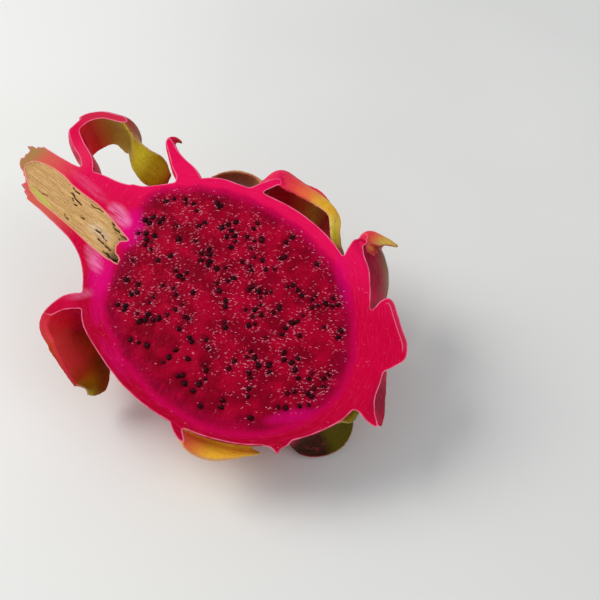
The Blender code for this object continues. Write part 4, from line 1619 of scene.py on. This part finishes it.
@dataclass
class Rind:
    """Peel with its scales, cut open and hollow."""

    voxel: float = 0.5
    quick_voxel: float = 0.9
    smoothing: int = 5
    triangles: int = 168000
    stations: int = 110
    sides: int = 160
    clip: float = 2.0
    reach: float = 42.0
    stalk_end: Rows = (
        (-125, 25), (-97.5, 25), (-98.0, 9.0), (-99.6, 7.4), (-100.2, 6.3), (-101.6, 5.6), (-101.2, 4.9),
        (-103.3, 4.6), (-104.9, 3.3), (-102.9, 3.2), (-102.4, 1.4), (-102.9, 0.4), (-102.3, -0.8),
        (-103.1, -1.9), (-101.9, -3.7), (-100.2, -4.9), (-98.0, -5.4), (-97.2, -6.3), (-96.0, -6.6),
        (-94.3, -7.9), (-94.9, -9.7), (-92.7, -9.6), (-91.8, -11.2), (-90.2, -11.2), (-88.8, -12.7),
        (-86.0, -15.0), (-86, -25), (-125, -25),
    )
    stalk_end_depth: float = 40.0
    tips: float = 5.0
    bumps: Rows = ((0.16, 7.0, 0.0), (0.06, 2.2, 4.0))
    cut_near: float = 0.03
    cut_upright: float = 0.7
    blade_fade: Pair = (2.6, 0.6)
    root_fade: Pair = (0.02, 0.2)
    green_fade: Pair = (0.15, 0.6)
    thin_deep: Pair = (1.3, 0.7)
    thin_fade: Pair = (1.1, 0.5)
    margin_fade: Pair = (0.86, 1.0)
    rim_far: float = 9.0
    rim_depth: float = 0.25
    rim_wood: float = 0.6
    cavity_stations: int = 44
    cavity_sides: int = 112
    skin_finish: SkinFinish = SkinFinish("rind_skin", roughness=0.34, specular=0.05, subsurface=0.04)
    cut_finish: PeelCutFinish = PeelCutFinish("rind_cut", roughness=0.26, specular=0.03, subsurface=0.08)
    scales: list[Scale] = field(default_factory=lambda: [*CUT_SCALES, *BackRow().scales()])

    def solid(self) -> Item:
        """Peel and scales grown together, before the cut.

        Returns:
            The solid.
        """
        points, faces = loft(SKIN.rings(self.stations, self.sides))
        clouds, start = [points], len(points)
        for scale in self.scales:
            more, more_faces = loft(scale.rings(), start)
            clouds.append(more)
            faces.extend(more_faces)
            start += len(more)
        for lobe in LOBES:
            item = lobe.object()
            clouds.append(coordinates(item.data))
            faces.extend(tuple(start + v for v in face.vertices) for face in item.data.polygons)
            start += len(item.data.vertices)
            bpy.data.objects.remove(item)
        cloud = np.concatenate(clouds)
        cloud[:, 2] = np.minimum(cloud[:, 2], self.clip)
        rind = new_object(new_mesh("rind", cloud, faces))
        modify(rind, "REMESH", mode="VOXEL", voxel_size=by_speed(self.voxel))
        modify(rind, "SMOOTH", factor=0.5, iterations=self.smoothing)
        rind.data.calc_loop_triangles()
        count = len(rind.data.loop_triangles)
        if count > self.triangles:
            modify(rind, "DECIMATE", ratio=self.triangles / count)
        return rind

    def grow(self, rind: Item) -> None:
        """Give the skin its slight unevenness."""
        points, normals = coordinates(rind.data), point_normals(rind.data)
        height = sum(high * rough(points, (size,) * 3, shift) for high, size, shift in self.bumps)
        move_points(rind.data, points + normals * height[:, None])

    def cut(self, rind: Item) -> None:
        """Hollow the peel, break the stalk's end and cut the half."""
        mesh = new_mesh("hollow", *loft(PULP.rings(self.cavity_stations, self.cavity_sides)))
        boolean(rind, new_object(mesh))
        boolean(rind, StalkCore().room())
        boolean(rind, plate("stalk_end", np.array(self.stalk_end, float), self.stalk_end_depth))
        boolean(rind, Knife().object(by_speed()))

    def sort_faces(self, rind: Item) -> Array:
        """Give the cut faces their own material and a crisp edge.

        Args:
            rind: The peel after the cut.

        Returns:
            Whether each point lies on the cut.
        """
        mesh = rind.data
        points = coordinates(mesh)
        on_cut = np.abs(points[:, 2] - Knife().height(points)) < self.cut_near
        for face in mesh.polygons:
            flat = all(on_cut[v] for v in face.vertices)
            flat = flat and face.normal.z > self.cut_upright
            face.material_index = (Face.CUT if flat else Face.SKIN).value
        mesh.shade_smooth()
        with editing(mesh) as bm:
            for edge in bm.edges:
                if len({face.material_index for face in edge.link_faces}) > 1:
                    edge.smooth = False
        return on_cut

    def paint_skin(self, rind: Item) -> None:
        """Store where on which scale each point lies, its tint, and how green it is there.

        Args:
            rind: The peel after the cut.
        """
        mesh = rind.data
        points, normals = coordinates(mesh), point_normals(mesh)
        places, facts = [], []
        for k, scale in enumerate(self.scales):
            middle, out, deep, s = scale.middle()
            steps, across = middle.shape[:2]
            t = np.repeat(np.linspace(0, 1, steps)[:, None], across, axis=1)
            side = np.repeat(s[None, :], steps, axis=0)
            run = np.linalg.norm(np.gradient(scale.table()[:, :3], axis=0), axis=1).cumsum()
            half = scale.table()[:, 3][:, None] * side
            along = np.repeat(run[:, None], across, axis=1)
            columns = [np.full(t.shape, k), t, side, along, half, deep]
            places.append(middle.reshape(-1, 3))
            facts.append(np.column_stack([*(c.ravel() for c in columns), out.reshape(-1, 3)]))
        index, away = nearest(np.concatenate(places), points)
        near = np.concatenate(facts)[index]
        blade = smooth_step(*self.blade_fade, away - near[:, 5])
        blade *= smooth_step(*self.root_fade, near[:, 1])
        outer = np.einsum("ij,ij->i", normals, near[:, 6:9]) > 0
        tints = np.zeros((len(points), 3))
        for k, scale in enumerate(self.scales):
            for side, look in ((True, scale.outside), (False, scale.inside)):
                mine = (near[:, 0] == k) & (outer == side)
                tints[mine] = look.read(near[mine, 1], near[mine, 2])
        paint(mesh, "tint", tints)
        green = smooth_step(*self.green_fade, tints[:, 1] / (tints[:, 0] + 0.01))
        paint(mesh, "green", green * blade)
        paint(mesh, "blade", blade)
        thin = smooth_step(*self.thin_deep, near[:, 5])
        thin *= smooth_step(*self.thin_fade, away - near[:, 5])
        paint(mesh, "margin", smooth_step(*self.margin_fade, np.abs(near[:, 2])) * blade * thin)
        paint(mesh, "strand", np.column_stack([near[:, 3], near[:, 4], near[:, 0] * 7.0]))

    def paint_cut(self, rind: Item, on_cut: Array) -> None:
        """Store how far each point of the cut lies from the pulp, the outer edge and the wood.

        Args:
            rind: The peel after the cut.
            on_cut: Whether each point lies on the cut.
        """
        mesh = rind.data
        points = coordinates(mesh)
        edges = np.zeros(len(points), bool)
        for edge in mesh.edges:
            if edge.use_edge_sharp:
                edges[edge.vertices[0]] = edges[edge.vertices[1]] = True
        outline = PULP.outline(80)
        depth = -line_distance(points, outline)
        wood = line_distance(points, StalkCore().outline_line())
        rim = np.full(len(points), self.rim_far)
        outer = points[edges & (depth < -self.rim_depth) & (wood > self.rim_wood)]
        rim[on_cut] = nearest(outer, points[on_cut])[1]
        around = np.arctan2(points[:, 1], points[:, 0]) * self.reach
        paint(mesh, "depth", depth)
        paint(mesh, "band", np.column_stack([around, depth, np.zeros(len(points))]))
        paint(mesh, "wood", wood)
        paint(mesh, "rim", rim)

    def fit(self, rind: Item) -> None:
        """Draw the outermost tips in to the room that the peel has.

        Args:
            rind: The peel in its place in the frame.
        """
        low, high = (np.array(corner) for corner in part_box("rind"))
        points = coordinates(rind.data)
        for way, limit in ((1.0, high), (-1.0, -low)):
            start = limit - self.tips * MM
            share = np.minimum((limit - start) / ((points * way).max(axis=0) - start), 1.0)
            points -= way * np.maximum(points * way - start, 0.0) * (1.0 - share)
        move_points(rind.data, points)

    def build(self) -> Item:
        """Make the peel.

        Returns:
            The peel.
        """
        rind = self.solid()
        self.grow(rind)
        self.cut(rind)
        on_cut = self.sort_faces(rind)
        self.paint_skin(rind)
        self.paint_cut(rind, on_cut)
        self.dress(rind)
        LIE.settle(rind)
        self.fit(rind)
        return rind

    def dress(self, rind: Item) -> None:
        """Give the peel its two finishes."""
        kinds = [face.material_index for face in rind.data.polygons]
        wear(rind, self.skin_finish, self.cut_finish)
        rind.data.polygons.foreach_set("material_index", kinds)


def plate(name: str, outline: Array, depth: float) -> Item:
    """Plate of an outline on the cut face, its depth to each side.

    Args:
        name: Name of the plate.
        outline: Corners of its outline.
        depth: Its depth to each side.

    Returns:
        The plate.
    """
    count = len(outline)
    low = np.column_stack([outline, np.full(count, -depth)])
    high = np.column_stack([outline, np.full(count, depth)])
    faces: list[tuple[int, ...]] = [tuple(range(count)), tuple(range(2 * count - 1, count - 1, -1))]
    faces.extend((k, (k + 1) % count, count + (k + 1) % count, count + k) for k in range(count))
    return new_object(new_mesh(name, np.concatenate([low, high]), faces))


@dataclass
class StalkCore:
    """Woody core of the stalk, cut along and broken at its outer end."""

    outline: Rows = (
        (-98.2, -4.4), (-99.3, -2.8), (-98.8, -0.6), (-96.8, 1.0), (-93.5, 2.0), (-89.9, 2.6),
        (-85.0, 2.7), (-79.5, 1.8), (-72.8, 1.7), (-67.0, 1.9), (-62.4, 1.4), (-57.6, 0.5), (-53.0, -0.5),
        (-48.1, -1.6), (-50.4, -3.9), (-49.9, -6.4), (-48.6, -8.0), (-45.4, -9.2), (-44.8, -10.7),
        (-50.9, -11.5), (-57.0, -11.4), (-66.6, -10.6), (-76.6, -10.2), (-85.3, -10.1), (-90.6, -8.9),
        (-93.2, -7.4), (-96.0, -5.9),
    )
    middle: Pair = (-72.0, -4.4)
    length: float = 80.0
    radius: float = 6.9
    depth: float = 9.0
    sides: int = 64
    finer: int = 4
    gap: float = 0.02
    jag: float = 0.28
    jag_middle: float = -73.0
    jag_from: float = 22.0
    jag_over: float = 6.0
    crack_face: float = 1.5
    sharp: float = math.radians(50)
    cracks: Cracks = Cracks((
        (-77.5, -0.6, -71.5, -1.9, 0.26), (-76.0, -1.9, -72.5, -3.0, 0.2), (-80.5, 1.3, -75.0, 1.1, 0.2),
        (-68.5, 0.9, -63.0, 0.7, 0.16), (-57.5, -0.3, -48.4, -1.9, 0.34), (-55.5, -1.6, -49.0, -3.2, 0.3),
        (-60.0, -5.2, -54.0, -6.6, 0.28), (-57.0, -7.4, -50.5, -8.6, 0.26),
        (-52.0, -10.2, -45.6, -10.4, 0.36), (-68.0, -4.6, -66.6, -5.0, 0.28),
        (-73.5, -8.4, -71.0, -8.8, 0.22), (-88.0, -7.8, -84.0, -7.2, 0.14),
    ))
    finish: WoodFinish = WoodFinish("stalk_wood", roughness=0.82, specular=0.25)

    def outline_line(self) -> Array:
        """The outline with the small steps of torn fibres at its two ends.

        Returns:
            Points of the line.
        """
        rows = np.array(self.outline, float)
        line = []
        for k, (a, b) in enumerate(zip(rows, np.roll(rows, -1, axis=0))):
            for i in range(self.finer):
                t = i / self.finer
                point = a + (b - a) * t
                end = max(0.0, (abs(point[0] - self.jag_middle) - self.jag_from) / self.jag_over)
                jag = min(end, 1.0) * self.jag * math.sin(7.3 * k + 4.1 * i)
                side = np.array([b[1] - a[1], a[0] - b[0]])
                line.append(point + unit(side) * (jag if i else 0.0))
        return np.array(line)

    def blank(self, grow: float = 0.0) -> Item:
        """Core before the cut: its outline pushed through a round bar.

        Args:
            grow: How much wider the bar is made.

        Returns:
            The core.
        """
        core = plate("stalk_core", self.outline_line(), self.depth)
        angle = np.linspace(0, 2 * math.pi, self.sides, endpoint=False)
        radius = self.radius + grow
        ring = np.column_stack([np.zeros(self.sides), radius * np.cos(angle), radius * np.sin(angle)])
        ring[:, 1] += self.middle[1]
        ends = [ring + np.array([self.middle[0] + k * self.length / 2, 0, 0]) for k in (-1, 1)]
        boolean(core, new_object(new_mesh("bar", *loft(np.array(ends)))), "INTERSECT")
        return core

    def room(self) -> Item:
        """Room that the core takes up in the peel and the pulp."""
        return self.blank(self.gap)

    def build(self) -> Item:
        """Make the core.

        Returns:
            The core.
        """
        core = self.blank()
        boolean(core, WoodKnife(cracks=self.cracks).object(by_speed()))
        points = coordinates(core.data)
        paint(core.data, "crack", self.cracks.strength(points) * (points[:, 2] > -self.crack_face))
        core.data.shade_smooth()
        core.data.set_sharp_from_angle(angle=self.sharp)
        wear(core, self.finish)
        LIE.settle(core)
        core.name = "stalk_core_wood"
        return core


@dataclass
class Seeds:
    """Black seeds that the cut has laid bare."""

    count: int = 116
    draw: int = 7
    tries: int = 20000
    half: Triple = (0.98, 0.74, 0.62)
    spacing: float = 4.4
    margin: float = 4.5
    pair_each: int = 4
    pair_near: float = 2.2
    pair_far: float = 3.4
    beside: float = 0.4
    beside_near: float = 1.6
    beside_far: float = 3.2
    size_least: float = 0.65
    size_most: float = 1.25
    lump_scale: float = 1.9
    lump_high: float = 1.3
    deep: float = 0.42
    deep_vary: float = 0.36
    sunk: float = 0.2
    sunk_share: float = 0.2
    tilt: float = 0.3
    finish: PlainFinish = PlainFinish(
        "seed",
        roughness=0.2,
        specular=0.16,
        glint=srgb(255, 170, 190),
        light=srgb(64, 4, 16),
        shade=srgb(6, 1, 4),
        grain=0.6,
        relief=0.5,
    )

    def places(self) -> list[Triple]:
        """Centre and turn of each seed, by a seeded draw: each fourth lies beside a neighbour.

        Returns:
            Centre and turn of each seed.
        """
        draw = random.Random(self.draw)
        low, high = PULP.rows[0][0], PULP.rows[-1][0]
        reach = max(radius + abs(shift) for _, radius, shift in PULP.rows)
        found: list[Triple] = []
        for _ in range(self.tries):
            if len(found) % self.pair_each == self.pair_each - 1:
                a, b, _turn = draw.choice(found)
                way = draw.uniform(0, 2 * math.pi)
                far = draw.uniform(self.pair_near, self.pair_far)
                x, y = a + far * math.cos(way), b + far * math.sin(way)
                spacing = self.pair_near
            else:
                x, y = draw.uniform(low, high), draw.uniform(-reach, reach)
                spacing = self.spacing
            clear = all(math.hypot(x - a, y - b) >= spacing for a, b, _ in found)
            if clear and self.inside(x, y):
                found.append((x, y, draw.uniform(0, math.pi)))
            if len(found) == self.count:
                break
        return found + self.companions(found, draw)

    def companions(
        self, found: list[Triple], draw: random.Random
    ) -> list[Triple]:
        """More seeds, close beside about half of those found.

        Args:
            found: Centre and turn of each seed so far.
            draw: The draw to go on with.

        Returns:
            Centre and turn of each new seed.
        """
        more: list[Triple] = []
        for a, b, _turn in found:
            for _ in range(2):
                way = draw.uniform(0, 2 * math.pi)
                far = draw.uniform(self.beside_near, self.beside_far)
                x, y = a + far * math.cos(way), b + far * math.sin(way)
                clear = all(math.hypot(x - p, y - q) >= self.beside_near for p, q, _ in found + more)
                if clear and draw.random() < self.beside and self.inside(x, y):
                    more.append((x, y, draw.uniform(0, math.pi)))
        return more

    def inside(self, x: float, y: float) -> bool:
        """Whether a place lies in the flesh, clear of its edge."""
        low, high = PULP.rows[0][0] + self.margin, PULP.rows[-1][0] - self.margin
        place = np.array([x])
        room = PULP.radius(place)[0] - self.margin
        return low < x < high and abs(y - PULP.shift(place)[0]) < room

    def tree(self, material: Material) -> Nodes:
        """Nodes that set a seed at each point.

        Args:
            material: Finish of the seeds.

        Returns:
            The nodes.
        """
        tree, given = Tree.group("seeds", {"Half size": "Vector", "Random seed": "Int"})
        place = tree.value("GeometryNodeInputPosition", None, {})
        noisy = {"Vector": place, "Scale": self.lump_scale, "Detail": 2.0}
        lumps = tree.value("ShaderNodeTexNoise", None, noisy, "Color")
        pushed = tree.vector("SCALE", tree.vector("SUBTRACT", lumps, (0.5, 0.5, 0.5)), self.lump_high)
        uneven = tree.value("GeometryNodeSetPosition", None, {"Geometry": tree.ball(3), "Offset": pushed})
        factor = tree.vary(self.size_least, self.size_most, given["Random seed"])
        inputs = {
            "Points": given["Geometry"],
            "Instance": uneven,
            "Rotation": tree.named("turn", "FLOAT_VECTOR"),
            "Scale": tree.vector("SCALE", given["Half size"], factor),
        }
        return tree.scatter(inputs, material)

    def build(self) -> Item:
        """Make the seeds.

        Returns:
            The seeds.
        """
        draw = random.Random(self.draw + 1)
        points, turns = [], []
        knife = Knife()
        for x, y, turn in self.places():
            tissue = knife.height(np.array([(x, y, 0.0)]))[0]
            deep = -self.deep + self.deep_vary * draw.random()
            deep -= self.sunk * (draw.random() < self.sunk_share)
            points.append((x, y, tissue + deep))
            turns.append((*(draw.uniform(-self.tilt, self.tilt) for _ in range(2)), turn))
        mesh = bpy.data.meshes.new("seeds")
        mesh.from_pydata(points, [], [])
        paint(mesh, "turn", np.array(turns))
        seeds = new_object(mesh)
        values = {"Half size": self.half, "Random seed": self.draw}
        run_nodes(seeds, self.tree(self.finish.material()), values)
        LIE.settle(seeds)
        return seeds


def run_nodes(item: Item, group: Nodes, values: dict[str, Any]) -> None:
    """Run a tree on an object and keep the plain mesh that it makes.

    Args:
        item: The object that gives the tree its geometry.
        group: The tree.
        values: Its inputs by name.
    """
    grown = item.modifiers.new("grown", "NODES")
    grown.node_group = group
    for socket in group.interface.items_tree:
        if socket.item_type == "SOCKET" and socket.in_out == "INPUT" and socket.name in values:
            grown[socket.identifier] = values[socket.name]
    applied(item)


@dataclass
class StrandsAndGlints:
    """Short pale ends of the fibres that the knife has torn in the flesh; their pale colour partly stands in
    for the glints of the wet cut, a painted highlight.
    """

    density: float = 0.85
    length: float = 0.56
    width: float = 0.14
    quick_share: float = 0.3
    random_seed: int = 5
    least: Triple = (0.25, 0.5, 0.5)
    most: Triple = (1.4, 1.2, 1.2)
    turn_least: Triple = (-0.3, -0.25, -0.1)
    turn_most: Triple = (0.3, 0.25, 1.4)
    # pale pink of the strands: partly torn fibre ends, partly painted glints of the wet flesh
    finish: PlainFinish = PlainFinish(
        "strand",
        roughness=0.22,
        coat=0.5,
        light=srgb(252, 150, 172),
        shade=srgb(232, 48, 92),
        grain=1.3,
        relief=0.05,
        subsurface=0.2,
    )

    def tree(self, material: Material) -> Nodes:
        """Nodes that scatter strands over the flesh.

        Args:
            material: Finish of the strands.

        Returns:
            The nodes.
        """
        kinds = {"Density": "Float", "Random seed": "Int", "Length": "Float", "Width": "Float"}
        tree, given = Tree.group("strands", kinds)
        seed, width = given["Random seed"], given["Width"]
        amount = tree.named("strands", "FLOAT") * given["Density"]
        inputs = {"Mesh": given["Geometry"], "Density": amount, "Seed": seed}
        settings = {"distribute_method": "RANDOM"}
        size = tree.value("ShaderNodeCombineXYZ", None, {0: given["Length"], 1: width, 2: width})
        inputs = {
            "Points": tree.value("GeometryNodeDistributePointsOnFaces", settings, inputs, "Points"),
            "Instance": tree.ball(1),
            "Rotation": tree.vary(self.turn_least, self.turn_most, seed),
            "Scale": tree.vector("MULTIPLY", size, tree.vary(self.least, self.most, seed)),
        }
        return tree.scatter(inputs, material)

    def build(self, sheet: Item) -> Item:
        """Make the strands over a sheet of the cut flesh.

        Args:
            sheet: Sheet of the cut flesh, which is used up.

        Returns:
            The strands.
        """
        strands = sheet
        strands.name = "strands"
        values = {
            "Density": self.density * by_speed(),
            "Random seed": self.random_seed,
            "Length": self.length,
            "Width": self.width,
        }
        run_nodes(strands, self.tree(self.finish.material()), values)
        LIE.settle(strands)
        return strands


@dataclass
class Pulp:
    """Flesh, with the relief of its wet cut face."""

    stations: int = 44
    sides: int = 112
    halo: float = 1.5
    torn: float = 1.4
    torn_reach: float = 1.5
    torn_far: float = 0.2
    strands_fade: Pair = (0.0, 1.8)
    sharp: float = math.radians(65)
    sheet_upright: float = 0.5
    sheet_deep: float = 1.5
    finish: PulpFinish = PulpFinish("pulp", roughness=0.16, specular=0.03, subsurface=0.06)
    seeds: Seeds = field(default_factory=Seeds)

    def build(self) -> tuple[Item, Item]:
        """Make the flesh.

        Returns:
            The flesh, and a sheet of its cut face for the strands.
        """
        spots = [(x, y) for x, y, _ in self.seeds.places()]
        pulp = new_object(new_mesh("pulp", *loft(PULP.rings(self.stations, self.sides))))
        boolean(pulp, StalkCore().room())
        boolean(pulp, PulpKnife(pits=spots).object(by_speed()))
        mesh = pulp.data
        points = coordinates(mesh)
        depth = line_distance(points, PULP.outline(80))
        depth *= np.where(inside_outline(points, PULP.outline(80)), 1, -1)
        paint(mesh, "depth", depth)
        away = np.full(len(points), 99.0)
        for x, y in spots:
            away = np.minimum(away, np.hypot(points[:, 0] - x, points[:, 1] - y))
        paint(mesh, "halo", np.exp(-((away / self.halo) ** 2)))
        torn = self.torn_far + (1 - self.torn_far) * np.exp(-(((away - self.torn) / self.torn_reach) ** 2))
        paint(mesh, "strands", strand_richness(points) * smooth_step(*self.strands_fade, depth) * torn)
        mesh.shade_smooth()
        mesh.set_sharp_from_angle(angle=self.sharp)
        wear(pulp, self.finish)
        sheet = self.sheet(pulp)
        LIE.settle(pulp)
        return pulp, sheet

    def sheet(self, pulp: Item) -> Item:
        """Copy of the cut face alone.

        Args:
            pulp: The flesh.

        Returns:
            The sheet.
        """
        mesh = pulp.data.copy()
        with editing(mesh) as bm:
            up, low = self.sheet_upright, -self.sheet_deep
            hidden = [f for f in bm.faces if f.normal.z < up or f.calc_center_median().z < low]
            bmesh.ops.delete(bm, geom=hidden, context="FACES")
        return new_object(mesh)


@dataclass(frozen=True)
class Lamp:
    """Soft square light: its place from the fruit on the camera's side, size, power and colour."""

    name: str
    place: Triple
    size: float
    watts: float
    colour: Colour


@dataclass
class Studio:
    """Pale floor, soft daylight and the camera."""

    turn: float = math.radians(36.58)
    drop: float = math.radians(51.0)
    offset: Triple = (0.0238, -0.1501, 0.1937)
    lens: float = 42.0
    sensor: float = 36.0
    floor_finish: FloorFinish = FloorFinish("floor", roughness=0.55)
    floor_reach: float = 1.6
    sky_colour: Colour = srgb(236, 240, 246)
    sky_strength: float = 0.54
    lamps: tuple[Lamp, ...] = (
        Lamp("window", (-0.8, 0.3, 0.75), 0.6, 9.4, (1.0, 0.98, 0.95)),
        Lamp("fill", (0.7, -0.4, 0.8), 0.8, 2.2, (0.95, 0.97, 1.0)),
    )

    def camera(self) -> None:
        """Set the camera where the photograph was taken from."""
        turn = Matrix.Rotation(self.turn, 3, "Z")
        lens = bpy.data.cameras.new("camera")
        lens.lens = self.lens
        lens.sensor_width = self.sensor
        eye = new_object(lens)
        ahead = turn @ Vector((0, math.cos(self.drop), -math.sin(self.drop)))
        eye.location = Vector(LIE.middle) + turn @ Vector(self.offset)
        eye.rotation_euler = ahead.to_track_quat("-Z", "Y").to_euler()
        bpy.context.scene.camera = eye

    def light(self, lamp: Lamp) -> None:
        """Hang a light that looks at the fruit.

        Args:
            lamp: The light.
        """
        bulb = bpy.data.lights.new(lamp.name, "AREA")
        bulb.shape = "SQUARE"
        bulb.size = lamp.size
        bulb.energy = lamp.watts
        bulb.color = lamp.colour
        item = new_object(bulb)
        turned = Matrix.Rotation(self.turn, 3, "Z") @ Vector(lamp.place)
        item.location = Vector(LIE.middle) + turned
        item.rotation_euler = (-turned).to_track_quat("-Z", "Y").to_euler()

    def floor(self) -> None:
        """Lay the floor."""
        corners = np.array([(-1, -1, 0), (1, -1, 0), (1, 1, 0), (-1, 1, 0)]) * self.floor_reach
        floor = new_object(new_mesh("floor", corners, [(0, 1, 2, 3)]))
        wear(floor, self.floor_finish)

    def sky(self) -> None:
        """Light the room evenly."""
        world = bpy.data.worlds.new("room")
        world.use_nodes = True
        ground = world.node_tree.nodes["Background"]
        ground.inputs["Color"].default_value = (*self.sky_colour, 1)
        ground.inputs["Strength"].default_value = self.sky_strength
        bpy.context.scene.world = world
        bpy.context.scene.view_settings.view_transform = "Standard"

    def build(self) -> None:
        """Set up the studio."""
        self.camera()
        self.floor()
        self.sky()
        for lamp in self.lamps:
            self.light(lamp)


def take(piece: Item, slot: str, *nodes: str) -> None:
    """Hand a finished piece to the frame.

    Args:
        piece: The piece.
        slot: Material slot of the record that its finish belongs to; not used.
        nodes: Nodes of the frame that it stands for.
    """
    if nodes:
        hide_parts(*nodes)
    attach(piece, BODY)
    LOG.info("%s: %d faces", piece.name, len(piece.data.polygons))


def main() -> None:
    """Build the half fruit and its studio."""
    logging.basicConfig(level=logging.INFO, format="%(name)s %(message)s")
    Studio().build()
    rind = Rind().build()
    rind.name = "rind_peel"
    take(rind, "rind_skin", "rind")
    pulp, sheet = Pulp().build()
    take(pulp, "flesh", "flesh")
    take(StrandsAndGlints().build(sheet), "flesh")
    take(Seeds().build(), "flesh")
    take(StalkCore().build(), "stalk_wood", "stalk_core")


if __name__ == "__main__":
    main()
